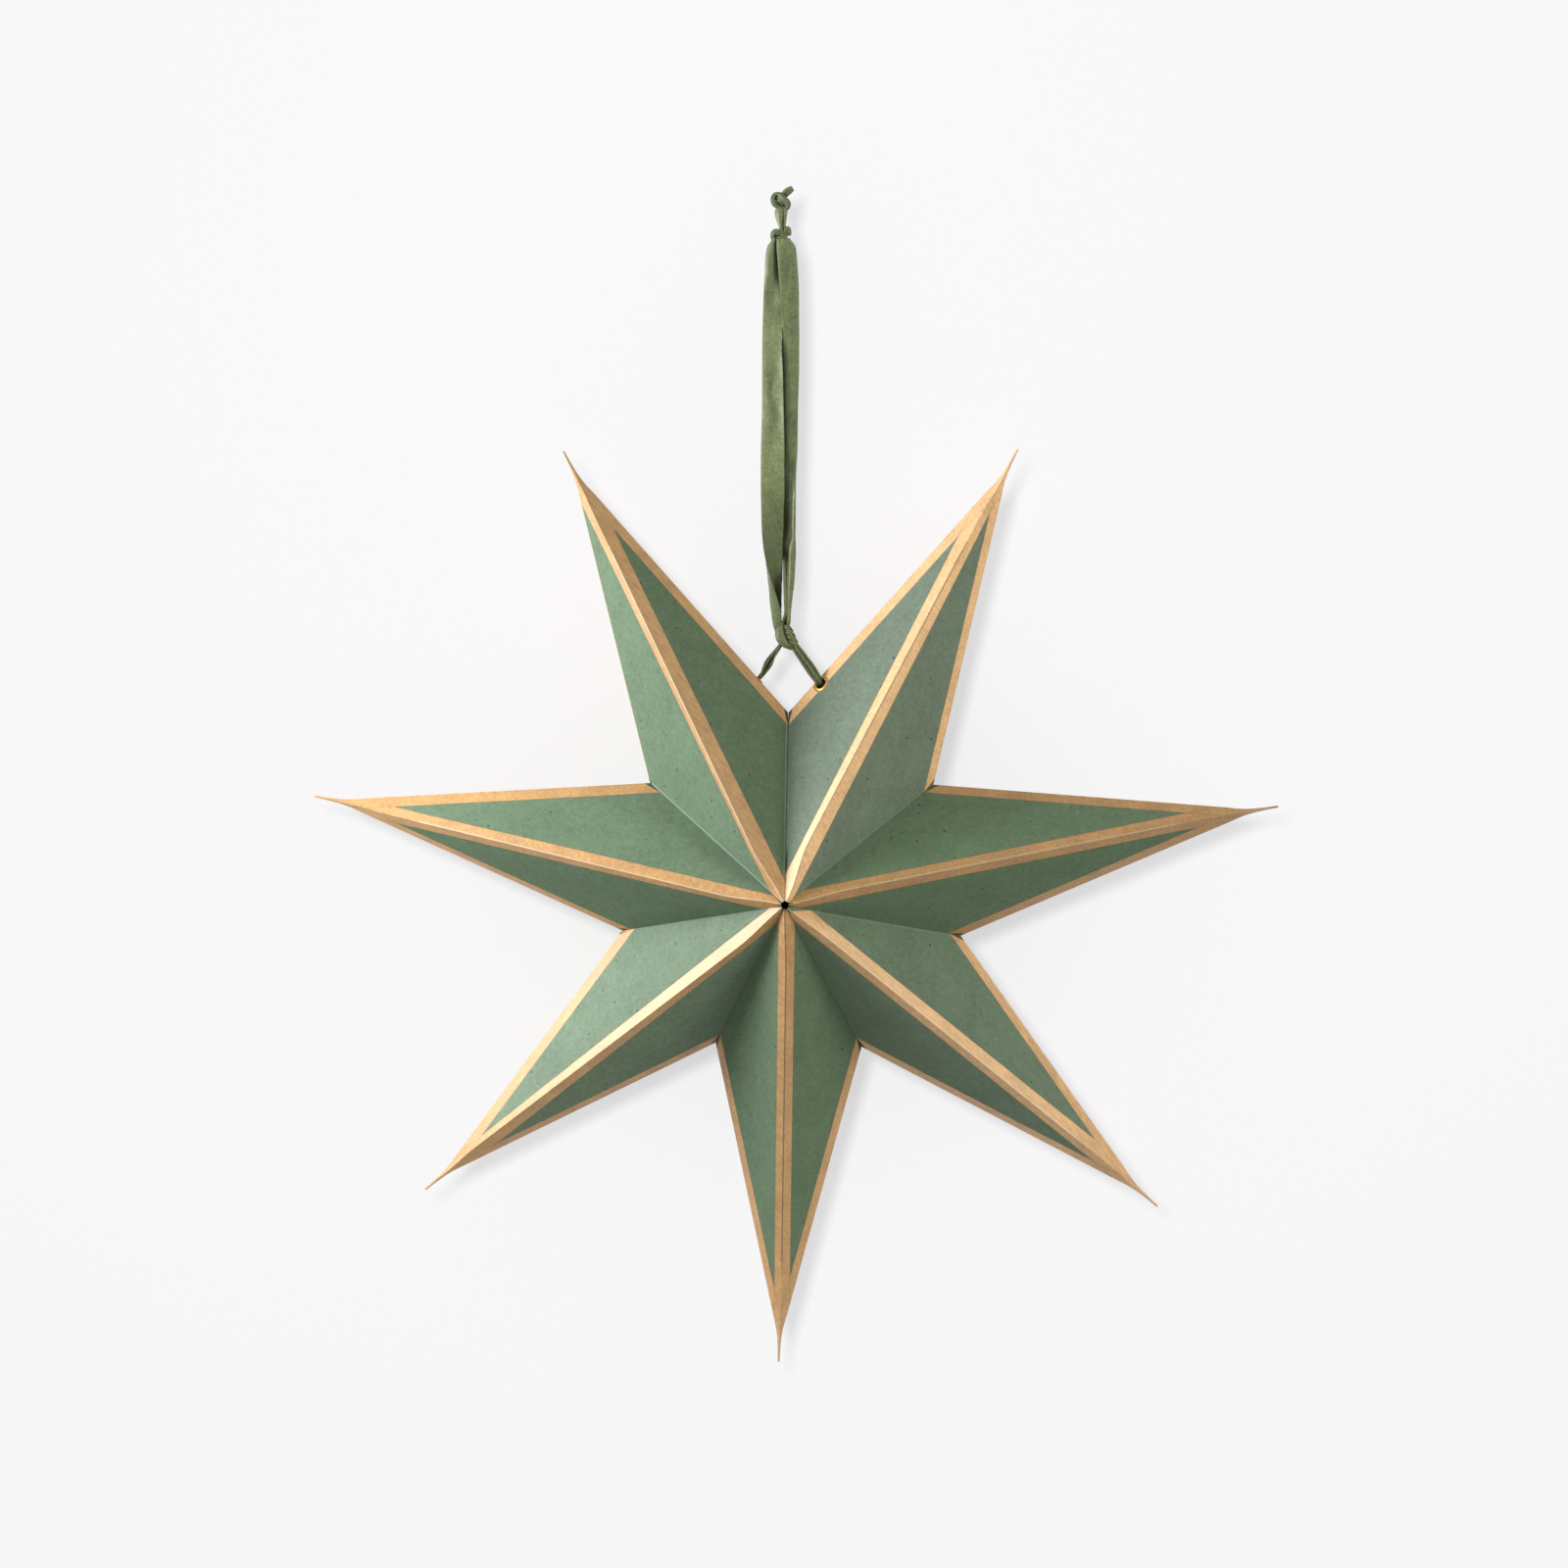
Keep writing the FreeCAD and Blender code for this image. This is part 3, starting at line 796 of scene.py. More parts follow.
    def build(self, materials):
        seats = []
        if self.name == "upper_right":
            seats.append(self.seat(1, 1))
        if self.name == "upper_left":
            seats.append(self.seat(-1, -1))
        bm = bmesh.new()
        self.start(bm)
        self.shift_ridges(bm)
        self.cut_band_edges(bm)
        self.pinch_tip(bm)
        self.fold_flaps(bm)
        self.round_folds(bm)
        geom = bm.verts[:] + bm.edges[:] + bm.faces[:]
        bmesh.ops.bisect_plane(
            bm, geom=geom, dist=1e-5, plane_co=(CENTRE_HOLE, 0, 0), plane_no=(1, 0, 0), clear_inner=True
        )
        self.write_maps(bm)
        self.settle_paper(bm, [place for place, _ in seats])
        bmesh.ops.transform(bm, matrix=self.matrix(), verts=bm.verts)
        mesh = bpy.data.meshes.new("paper_" + self.name)
        bm.to_mesh(mesh)
        bm.free()
        piece = add_piece("paper_" + self.name, mesh, *materials)
        solid = piece.modifiers.new("thickness", "SOLIDIFY")
        solid.thickness = self.settings.thickness
        solid.offset = -1
        solid.use_even_offset = True
        solid.thickness_clamp = 0.9
        solid.material_offset = 1
        solid.material_offset_rim = 0
        apply_modifiers(piece)
        for place, normal in seats:
            punch(piece, self.matrix() @ place, self.matrix().to_3x3() @ normal)
        for face in piece.data.polygons:
            face.use_smooth = True
        piece.data.set_sharp_from_angle(angle=PAPER_SHARP_ANGLE)
        return piece


def punch(piece, place, normal):
    """A round hole for an eyelet."""
    bm = bmesh.new()
    radius = EYELET_HOLE * MM
    bmesh.ops.create_cone(
        bm, cap_ends=True, segments=40, radius1=radius, radius2=radius, depth=6 * MM,
        matrix=Matrix.Translation(place) @ normal.to_track_quat("Z", "Y").to_matrix().to_4x4(),
    )
    mesh = bpy.data.meshes.new("punch")
    bm.to_mesh(mesh)
    bm.free()
    tool = bpy.data.objects.new("punch", mesh)
    bpy.context.scene.collection.objects.link(tool)
    hole = piece.modifiers.new("hole", "BOOLEAN")
    hole.operation = "DIFFERENCE"
    hole.solver = "EXACT"
    hole.object = tool
    apply_modifiers(piece)
    bpy.data.objects.remove(tool)
    bpy.data.meshes.remove(mesh)


def spline_points(points, steps=10):
    """Points along a smooth spline that has these as its control points."""
    curve = bpy.data.curves.new("route", "CURVE")
    curve.dimensions = "3D"
    curve.resolution_u = steps
    spline = curve.splines.new("NURBS")
    spline.points.add(len(points) - 1)
    for point, place in zip(spline.points, points):
        point.co = (*place, 1.0)
    spline.order_u = 3
    spline.use_endpoint_u = True
    holder = bpy.data.objects.new("route", curve)
    bpy.context.scene.collection.objects.link(holder)
    bpy.context.view_layer.update()
    mesh = bpy.data.meshes.new_from_object(holder.evaluated_get(bpy.context.evaluated_depsgraph_get()))
    path = [vert.co.copy() for vert in mesh.vertices]
    bpy.data.meshes.remove(mesh)
    bpy.data.objects.remove(holder)
    bpy.data.curves.remove(curve)
    return path


def path_length(path):
    return sum((b - a).length for a, b in zip(path, path[1:]))


def curve_through(controls, share):
    """A place on a smooth curve through evenly spaced controls."""
    last = len(controls) - 1
    index = min(int(share * last), last - 1)
    part = share * last - index
    before, start, end, after = (controls[min(max(index + step, 0), last)] for step in (-1, 0, 1, 2))
    bend = (2 * before - 5 * start + 4 * end - after) * part
    bend = bend + (3 * start - before - 3 * end + after) * part * part
    return start + ((end - before) + bend) * part / 2


def section_between(rows, place):
    """The controls of a ribbon's section at a place between the rows, which start with theirs."""
    places = [row[0] for row in rows]
    index = max(0, sum(1 for start in places[:-1] if start <= place) - 1)
    share = (place - places[index]) / (places[index + 1] - places[index])
    share = min(1.0, max(0.0, share))
    flat = [Vector([number for control in row[1:] for number in control]) for row in rows]
    numbers = curve_through(flat, (index + share) / (len(rows) - 1))
    return [Vector(numbers[start:start + 2]) for start in range(0, len(numbers), 2)]


ROLL_STEPS = 8  # controls on each side of the middle of a rolled section


def rolled(width, roll, turn=0, pleat=0.0, pleats=2.0, phase=0):
    """Controls of a section that is rolled round its back and pleated."""
    whole = math.radians(roll)
    level = math.sin(whole / 2) / (whole / 2)
    spin = Matrix.Rotation(math.radians(turn), 2)
    controls = []
    for step in range(-ROLL_STEPS, ROLL_STEPS + 1):
        angle = whole / (2 * ROLL_STEPS) * step
        out = Vector((math.sin(angle), math.cos(angle)))
        wave = pleat * math.cos(math.pi * pleats * step / ROLL_STEPS + math.radians(phase))
        place = Vector((out.x, out.y - level)) * (width / whole) + out * wave
        controls.append(tuple(spin @ place))
    return tuple(controls)


FINE_STEPS = 4  # places tried between two places of a section, to space them evenly
EDGE_FROM = 0.92  # the ribbon thins from this share of its half width
EDGE_THINNED = 0.6


def ribbon_outline(controls, thickness, steps):
    """The ribbon cut across: its front from one edge to the other, then its back."""
    tries = steps * FINE_STEPS
    fine = [curve_through(controls, step / tries) for step in range(tries + 1)]
    gone = [0.0]
    for start, end in zip(fine, fine[1:]):
        gone.append(gone[-1] + (end - start).length)
    middle = []
    spot = 0
    for step in range(steps + 1):
        reach = gone[-1] * step / steps
        while spot < len(gone) - 2 and gone[spot + 1] < reach:
            spot += 1
        part = (reach - gone[spot]) / max(1e-9, gone[spot + 1] - gone[spot])
        middle.append(fine[spot].lerp(fine[spot + 1], min(1.0, part)))
    front, back = [], []
    for step, place in enumerate(middle):
        ahead = middle[min(step + 1, steps)] - middle[max(step - 1, 0)]
        share = 2 * step / steps - 1
        thin = thickness / 2 * (1 - EDGE_THINNED * smooth_step(abs(share), EDGE_FROM, 1.0))
        normal = Vector((-ahead.y, ahead.x)).normalized() * thin
        front.append((place + normal, share))
        back.append((place - normal, share))
    return front + back[::-1]


def sweep_ribbon(name, path, rows, material, thickness=0.3, steps=20):
    """A ribbon along a path. The rows give its section by share of the way, in millimetres to the
    right and to the front of the path."""
    bm = bmesh.new()
    weave = bm.loops.layers.uv.new("weave")
    total = path_length(path)
    facing = Vector((0, -1, 0))
    gone = 0.0
    ring, edges, coords = [], [], {}
    for index, place in enumerate(path):
        ahead = (path[min(index + 1, len(path) - 1)] - path[max(index - 1, 0)]).normalized()
        facing = (facing - ahead * facing.dot(ahead)).normalized()
        right = ahead.cross(facing)
        if index:
            gone += (place - path[index - 1]).length
        outline = ribbon_outline(section_between(rows, gone / total), thickness, steps)
        if not ring:
            ring = bmesh.ops.create_circle(bm, segments=len(outline), radius=MM)["verts"]
            edges = list(dict.fromkeys(edge for vert in ring for edge in vert.link_edges))
        else:
            made = bmesh.ops.extrude_edge_only(bm, edges=edges)["geom"]
            fresh = {item for item in made if isinstance(item, bmesh.types.BMVert)}
            edges = [
                item for item in made
                if isinstance(item, bmesh.types.BMEdge) and fresh.issuperset(item.verts)
            ]
            ring = [
                next(edge.other_vert(vert) for edge in vert.link_edges if edge.other_vert(vert) in fresh)
                for vert in ring
            ]
        for vert, (spot, share) in zip(ring, outline):
            vert.co = place + (right * spot.x + facing * spot.y) * MM
            coords[vert] = (share, gone)
        if index in (0, len(path) - 1):
            bm.faces.new(ring)
    for face in bm.faces:
        for loop in face.loops:
            loop[weave].uv = coords[loop.vert]
        face.smooth = True
    bmesh.ops.recalc_face_normals(bm, faces=bm.faces)
    mesh = bpy.data.meshes.new(name)
    bm.to_mesh(mesh)
    bm.free()
    mesh.set_sharp_from_angle(angle=RIBBON_SHARP_ANGLE)
    piece = add_piece(name, mesh, material)
    return piece


def on_star(across, up, front=0.0):
    """A place across, up and to the front of the star's axis, from millimetres."""
    return CENTRE + Vector((across, -front, up)) * MM


def join_pieces(name, pieces):
    """Several swept ribbons made one piece."""
    bm = bmesh.new()
    for piece in pieces:
        bm.from_mesh(piece.data)
    material = pieces[0].data.materials[0]
    mesh = bpy.data.meshes.new(name)
    bm.to_mesh(mesh)
    bm.free()
    for piece in pieces:
        old = piece.data
        bpy.data.objects.remove(piece)
        bpy.data.meshes.remove(old)
    mesh.set_sharp_from_angle(angle=RIBBON_SHARP_ANGLE)
    joined = add_piece(name, mesh, material)
    return joined


# Sections of the ribbon's two hanging sides, read off the photo: share of the way up from the
# lower knot, then seven places from the ribbon's left edge to its right edge, each to the right of
# the route and to the front of it, in millimetres.
LEFT_BAND = (
    (0.001, (-2.1, 1.2), (-3.3, 1), (-3.1, 0), (-1.1, -0.5), (-2.6, -1), (-3.3, -1.6), (-1.6, -2)),
    (0.027, (0, 1.6), (-2, 2), (-3.8, 0.9), (-1.7, -0.4), (0.3, -1.2), (-1.2, -2), (-2.7, -2.3)),
    (0.055, (1.1, 2), (-1.4, 2.2), (-3.7, 1), (-1.4, -0.6), (1.1, -1.4), (0.1, -2.1), (-1.4, -2.3)),
    (0.078, (0.7, 2.3), (-1.5, 2.3), (-3.7, 1), (-1.3, -2), (1.7, -2.4), (1, -3), (-0.3, -3.2)),
    (0.118, (-0.8, 2.3), (-2.1, 2), (-3.4, 0.9), (-1.1, -2.4), (2.6, -2.4), (2.1, -3), (0.6, -3.2)),
    (0.143, (-2, 1.9), (-2.8, 1.6), (-3.5, 0.8), (-0.9, -2), (3.2, -2), (2.8, -2.8), (1, -3)),
    (0.174, (-3.6, 1.7), (-3.9, 1.2), (-3.4, 0.5), (-0.6, -1), (3.6, -1.2), (3.4, -2.2), (1.6, -2.6)),
    (0.219, (-5, 2.8), (-4, 2.4), (-2.2, 1.9), (0.7, 1), (4, 0.1), (4.3, -1), (2.7, -1.8)),
    (0.269, (-5.7, 2.6), (-4, 2.3), (-2, 1.9), (1, 1.2), (3.7, 0.5), (5, 0), (4.2, -1)),
    (0.318, (-5.9, 2), (-3.9, 1.9), (-1.9, 1.6), (0.6, 1.1), (3, 0.7), (5, 0.4), (5.3, -0.4)),
    (0.368, (-6.1, 1.1), (-4.3, 1.1), (-1.9, 1), (0.6, 0.7), (2.6, 0.5), (4.1, 0.5), (5.8, 0.6)),
    (0.418, (-6.2, -0.2), (-4.3, 0.1), (-2.1, 0.3), (-0.1, 0.5), (1.9, 0.7), (3.8, 0.9), (5.7, 1.1)),
    (0.467, (-6.2, -0.8), (-4.2, -0.4), (-2.2, -0.1), (-0.2, 0.2), (1.8, 0.6), (3.8, 1), (5.8, 1.4)),
    (0.517, (-6, -0.7), (-4.1, -0.2), (-2.3, 0.1), (-0.3, 0.1), (1.8, 0.4), (3.7, 0.8), (5.6, 1.4)),
    (0.566, (-5.8, -0.3), (-4, 0.3), (-2, 0.7), (-0.5, 0.6), (1.4, 0), (3.2, 0.3), (5.3, 1.3)),
    (0.616, (-5.8, -0.4), (-4.1, 0.1), (-2.8, 0.3), (-1.4, -0.5), (0.1, 0), (2.6, 0.6), (5, 1.4)),
    (0.665, (-5.9, -0.4), (-4.1, 0.2), (-2.2, 0.3), (-0.2, 0.1), (1.5, 0.1), (3.2, 0.6), (4.7, 1.4)),
    (0.751, (-6, -1), (-4.5, -0.6), (-2.9, -0.2), (-1.1, 0.1), (0.8, 0.4), (2.5, 0.6), (3.9, 0.9)),
    (0.812, (-5.8, -0.4), (-4.3, -0.2), (-2.6, -0.1), (-0.7, 0), (1.1, 0.2), (2.8, 0.4), (4.5, 0.4)),
    (0.862, (-5.7, 0.6), (-4.3, 0.6), (-2.6, -0.1), (-0.7, -0.3), (1.1, 0.1), (3, 0.5), (5, 0.5)),
    (0.910, (-5.8, -0.2), (-4.4, 0.6), (-3.1, 0.6), (-1.7, -0.2), (0, -1), (2.5, -1.3), (4.4, -1.3)),
    (0.952, (-6.1, -0.1), (-4.5, 0.8), (-3.1, 0.8), (-1.6, -0.2), (-0.1, -1.2), (1.8, -1.8), (3.3, -1.8)),
    (0.979, (-5.5, -0.2), (-4, 0.8), (-2.8, 0.9), (-1.8, -0.2), (-0.6, -1.2), (0.9, -1.9), (1.9, -1.9)),
    (1.000, (-3.3, -0.2), (-2.7, 0.8), (-1.9, 0.9), (-1.4, -0.4), (-0.7, -1.4), (0, -1.9), (0.7, -1.9)),
)
RIGHT_BAND = (
    (0.001, (-1.6, 1), (-0.6, 0.2), (0.4, 1), (1.4, 0), (0.6, -0.8), (-0.6, -1.4), (0.6, -1.8)),
    (0.027, (-2.3, 1), (-1.3, 0), (-0.1, -0.4), (0.9, 1), (2.1, 0.2), (1.2, -1.2), (-0.3, -1.6)),
    (0.054, (-1.1, 0.9), (-0.4, 0.7), (0.3, 0.4), (1.2, 0.8), (2.2, 0.2), (1.5, -1.3), (0, -1.8)),
    (0.092, (-1.6, 0.8), (-0.8, 0.6), (0.1, 0.1), (1.2, 0.8), (2.7, 0), (1.8, -1.4), (0.1, -2)),
    (0.142, (-2.2, 0), (-1.1, -0.5), (0.1, -0.8), (1.3, 0.6), (3.5, -0.2), (2.7, -1.5), (1, -2.1)),
    (0.188, (-2.6, -1.2), (-1.6, -1.8), (-0.1, -2.2), (1.1, 0), (3.4, -0.1), (3.8, -1.2), (2.4, -2.1)),
    (0.218, (-3.5, -3), (-2.2, -3.6), (-0.2, -3.4), (1, -0.2), (3.2, 0.3), (4, -0.8), (3.1, -2)),
    (0.268, (-4.1, -3.6), (-2.4, -4.8), (-0.1, -5.6), (1.8, -3.6), (2.3, 0), (3.5, 0.4), (3.9, -0.8)),
    (0.317, (-4.6, -3.6), (-2.6, -4.8), (-0.2, -5.8), (1.8, -4.4), (2.5, -0.4), (3.5, 0.2), (4, -0.8)),
    (0.368, (-5.3, -3.2), (-3.3, -4.2), (-0.9, -5.2), (1.3, -4.4), (2.5, -1.6), (3.3, -0.4), (4.1, -0.9)),
    (0.417, (-6, -2.6), (-4, -3), (-2.1, -3.4), (0, -3.2), (1.7, -2.4), (3.1, -1.8), (4.3, -2.2)),
    (0.467, (-6.1, -2), (-4.2, -1.9), (-2.3, -1.7), (-0.5, -1.4), (1.2, -1.3), (3.2, -1.7), (4.9, -2.4)),
    (0.566, (-5.8, -1.6), (-4, -1.4), (-2.1, -1.2), (-0.2, -0.9), (1.8, -0.6), (3.5, -0.6), (5.3, -0.9)),
    (0.665, (-5.1, -1.2), (-3.3, -1), (-1.5, -0.6), (0.4, -0.2), (2.3, -0.2), (4.3, -0.6), (5.9, -1.3)),
    (0.714, (-3.8, -0.8), (-2.3, -0.6), (-0.7, -0.3), (1.1, 0.1), (2.8, 0.1), (4.5, -0.2), (6, -0.8)),
    (0.751, (-2.5, 0.1), (-1.3, 0.4), (0.2, 0.5), (1.7, 0.5), (3.2, 0.3), (4.7, -0.1), (6.1, -0.8)),
    (0.812, (-3, 1), (-1.5, 1), (0.1, 0.9), (1.7, 0.8), (3.3, 0.5), (4.8, 0), (6.1, -0.8)),
    (0.862, (-3.1, 1.2), (-1.7, 1.2), (0, 1.1), (1.8, 0.9), (3.4, 0.5), (4.9, 0), (6.3, -0.8)),
    (0.910, (-3.3, 1.3), (-1.8, 1.4), (-0.2, 1), (1.7, 0.6), (3.5, 0.5), (5.1, 0.1), (6.4, -0.6)),
    (0.952, (-3.3, 1.3), (-1.9, 1.5), (-0.4, 1.4), (1.6, 1), (3.3, 0.7), (4.9, 0.2), (6.3, -0.5)),
    (0.979, (-3.3, 1.1), (-2, 1.4), (-0.7, 1.5), (1, 1.3), (2.8, 0.9), (4.4, 0.3), (6, -0.4)),
    (1.000, (-3, 0.8), (-2.1, 1.2), (-1.1, 1), (0.1, 1.4), (1.2, 0.8), (2.4, 0.9), (3.5, 0)),
)
# The tie: share of the way, then width, roll, turn, pleat height, number of pleats and their phase,
# in millimetres and degrees.
TIE_BAND = (
    (0.00, 4.4, 120, 0, 0.35, 2.6, 40),
    (0.05, 5.0, 110, 0, 0.45, 2.6, 40),
    (0.11, 5.4, 110, 0, 0.5, 2.4, 50),
    (0.16, 5.0, 140, 0, 0.4, 2.4, 60),
    (0.21, 4.6, 190, 0, 0.3, 2.0, 60),
    (0.50, 4.4, 200, 0, 0.25, 2.0, 0),
    (0.79, 4.4, 200, 0, 0.25, 2.0, 0),
    (0.83, 4.4, 150, 40, 0.3, 2.0, 0),
    (0.87, 5.0, 120, 70, 0.4, 2.0, 20),
    (0.91, 4.6, 130, 130, 0.35, 2.0, 40),
    (0.95, 3.8, 160, 170, 0.3, 2.0, 60),
    (1.00, 3.0, 200, 200, 0.2, 2.0, 60),
)
LOBE_PHASE = 80  # degrees that the pleats shift along a lobe of a knot
# Lobes of the knots: places across, up and to the front of the star's axis, then the widths at
# the start, middle and end, the roll in degrees, the pleat height and the number of pleats.
LOWER_KNOT_LOBES = (
    (((-5.6, 135.6, 0.6), (-5.9, 131.6, 2.2), (-5.4, 128.4, 3.2),
      (-3.9, 126.0, 3.5), (-1.7, 124.0, 3.0), (0.6, 122.8, 1.2)),
     4.2, 5.8, 2.6, 110, 0.12, 1.5),
    (((-4.2, 133.2, 0.4), (-2.6, 133.2, 1.9), (-0.9, 132.0, 1.6), (0.1, 130.6, 0.0)),
     2.2, 3.4, 2.4, 120, 0.22, 2.5),
    (((-3.8, 130.6, 0.8), (-1.8, 130.8, 2.5), (0.4, 129.2, 2.0), (1.3, 127.6, 0.2)),
     2.0, 3.6, 2.4, 120, 0.25, 2.5),
    (((-3.0, 128.4, 1.2), (-1.0, 128.2, 3.0), (1.5, 126.6, 2.3), (2.5, 125.0, 0.2)),
     2.2, 3.6, 2.6, 120, 0.22, 2.5),
    (((-2.4, 126.4, 1.6), (-0.4, 126.2, 3.0), (1.6, 124.9, 2.6), (2.6, 123.2, 0.8)),
     2.0, 3.2, 2.6, 120, 0.2, 2.0),
    (((-3.0, 134.0, -0.8), (-2.6, 130.4, 0.2), (-2.2, 127.0, 0.8), (-1.2, 123.8, 0.0)),
     6.0, 9.5, 6.0, 250, 0.3, 3.0),
    (((-6.2, 130.6, -0.8), (-4.4, 127.0, -2.4), (-1.6, 125.2, -2.6), (1.4, 126.6, -1.2)),
     5.0, 8.0, 5.0, 180, 0.3, 3.0),
)
UPPER_KNOT_LOBES = (
    (((-4.8, 328.4, 0.2), (-6.4, 330.0, 1.5), (-8.2, 330.2, 1.6),
      (-9.5, 328.6, 0.9), (-9.2, 326.8, -0.2)),
     2.4, 3.2, 2.4, 120, 0.2, 2.0),
    (((-4.4, 328.6, 0.2), (-3.2, 330.9, 1.2), (-1.8, 332.0, 1.2),
      (-0.8, 330.6, 0.8), (-0.9, 328.6, -0.3)),
     2.2, 2.8, 2.0, 120, 0.15, 2.0),
    (((-8.6, 328.0, -0.8), (-6.6, 327.2, 0.5), (-4.6, 327.6, 0.9),
      (-2.8, 329.0, 0.6), (-1.6, 330.4, -0.6)),
     2.6, 4.0, 2.6, 120, 0.25, 2.5),
    (((-8.2, 328.8, -0.8), (-5.2, 329.4, -0.2), (-2.4, 329.0, -0.8)),
     6.0, 9.0, 6.0, 260, 0.3, 3.0),
)
END_KNOT_LOBES = (
    (((-5.2, 348.6, 0.6), (-7.6, 349.0, 1.3), (-9.2, 346.8, 1.5),
      (-8.8, 344.0, 1.4), (-7.0, 342.7, 1.0), (-5.4, 343.4, 0.2)),
     2.0, 2.9, 2.2, 130, 0.12, 2.0),
    (((-7.8, 347.4, 0.2), (-6.2, 346.6, 1.6), (-4.6, 345.4, 1.6), (-3.6, 344.0, 0.8)),
     2.6, 3.6, 2.6, 120, 0.15, 2.0),
    (((-7.2, 348.6, 1.0), (-5.4, 348.0, 2.5), (-3.4, 346.2, 2.8),
      (-1.7, 343.8, 1.8), (-1.9, 341.4, 0.2)),
     2.0, 2.9, 2.4, 120, 0.15, 2.0),
    (((-3.0, 346.4, -0.4), (-1.7, 344.4, 0.9), (-2.0, 342.4, 1.0), (-3.4, 341.0, 0.2)),
     2.4, 3.4, 2.4, 120, 0.2, 2.0),
    (((-6.8, 346.4, -1.2), (-5.0, 344.2, -0.4), (-4.0, 341.8, -0.8)),
     5.6, 8.0, 5.6, 250, 0.3, 3.0),
)
# The stem and the cut tail, like the ribbon's hanging sides
STEM_BAND = (
    (0.00, (-1.2, 0.2), (-0.9, 0.9), (-0.2, 1.0), (0.3, 0.0), (0.7, 0.8), (1.2, 0.2), (0.6, -0.8)),
    (0.30, (-2.0, 0.0), (-1.6, 0.8), (-0.6, 1.2), (0.4, 0.2), (0.8, 0.9), (1.5, 0.2), (0.8, -0.9)),
    (0.65, (-3.2, -0.4), (-2.3, 0.8), (-0.8, 1.4), (0.7, 0.4), (1.5, 1.0), (2.4, 0.1), (1.5, -1.0)),
    (0.85, (-3.5, -0.6), (-2.4, 0.7), (-0.9, 1.4), (0.8, 0.5), (1.8, 1.0), (2.9, 0.0), (2.0, -1.1)),
    (1.00, (-2.6, -0.5), (-1.8, 0.6), (-0.6, 1.1), (0.5, 0.4), (1.2, 0.8), (2.0, 0.0), (1.2, -0.9)),
)
TAIL_BAND = (
    (0.00, (-1.4, -0.4), (-1.0, 0.4), (-0.4, 0.7), (0.2, 0.3), (0.7, 0.5), (1.1, 0.1), (1.4, -0.5)),
    (0.40, (-1.9, -0.5), (-1.4, 0.3), (-0.7, 0.7), (0.0, 0.3), (0.7, 0.4), (1.3, 0.2), (1.8, -0.4)),
    (0.75, (-1.9, -0.4), (-1.3, 0.2), (-0.6, 0.5), (0.0, 0.2), (0.6, 0.2), (1.2, 0.2), (1.7, -0.2)),
    (1.00, (-1.4, -0.3), (-0.9, 0.1), (-0.5, 0.3), (0.0, 0.1), (0.5, 0.1), (0.9, 0.1), (1.3, -0.1)),
)


# Stage, in metres where nothing else is said. The camera's place and what it looks at are to the
# right, back and up from the star's axis. The lamps' directions are degrees to the right of the
# star's front, and up.
EYE = Vector((68.7, -1300.0, 189.9)) * MM
LOOK_AT = Vector((-3.75, 0.0, 53.4)) * MM
WALL_BARE = (0.8, 0.8, 0.8, 1)  # as it lights the star
WALL_SHADE = (0.505, 0.5, 0.485, 1)  # as it is seen: its shade, and a glow that lifts it
WALL_GLOW = (0.925, 0.92, 0.955, 1)
WALL_GLOW_STRENGTH = 0.62
WALL_HALF = 2.5
WALL_GAP = 2.0  # millimetres from the star's back to the backdrop
KEY_FROM = (-75, 20)
KEY_AWAY = 0.65
KEY_SIZE = 0.39
KEY_COLOUR = (0.99, 0.99, 1.07)
FILL_FROM = (60, 20)
FILL_AWAY = 2.0
FILL_ANGLE = math.radians(24)
FILL_COLOUR = (1.0, 0.985, 0.9)
WALL_LAMP_OFF = Vector((-0.131, 0, 0.12))  # from the camera
WALL_LAMP_RADIUS = 0.085


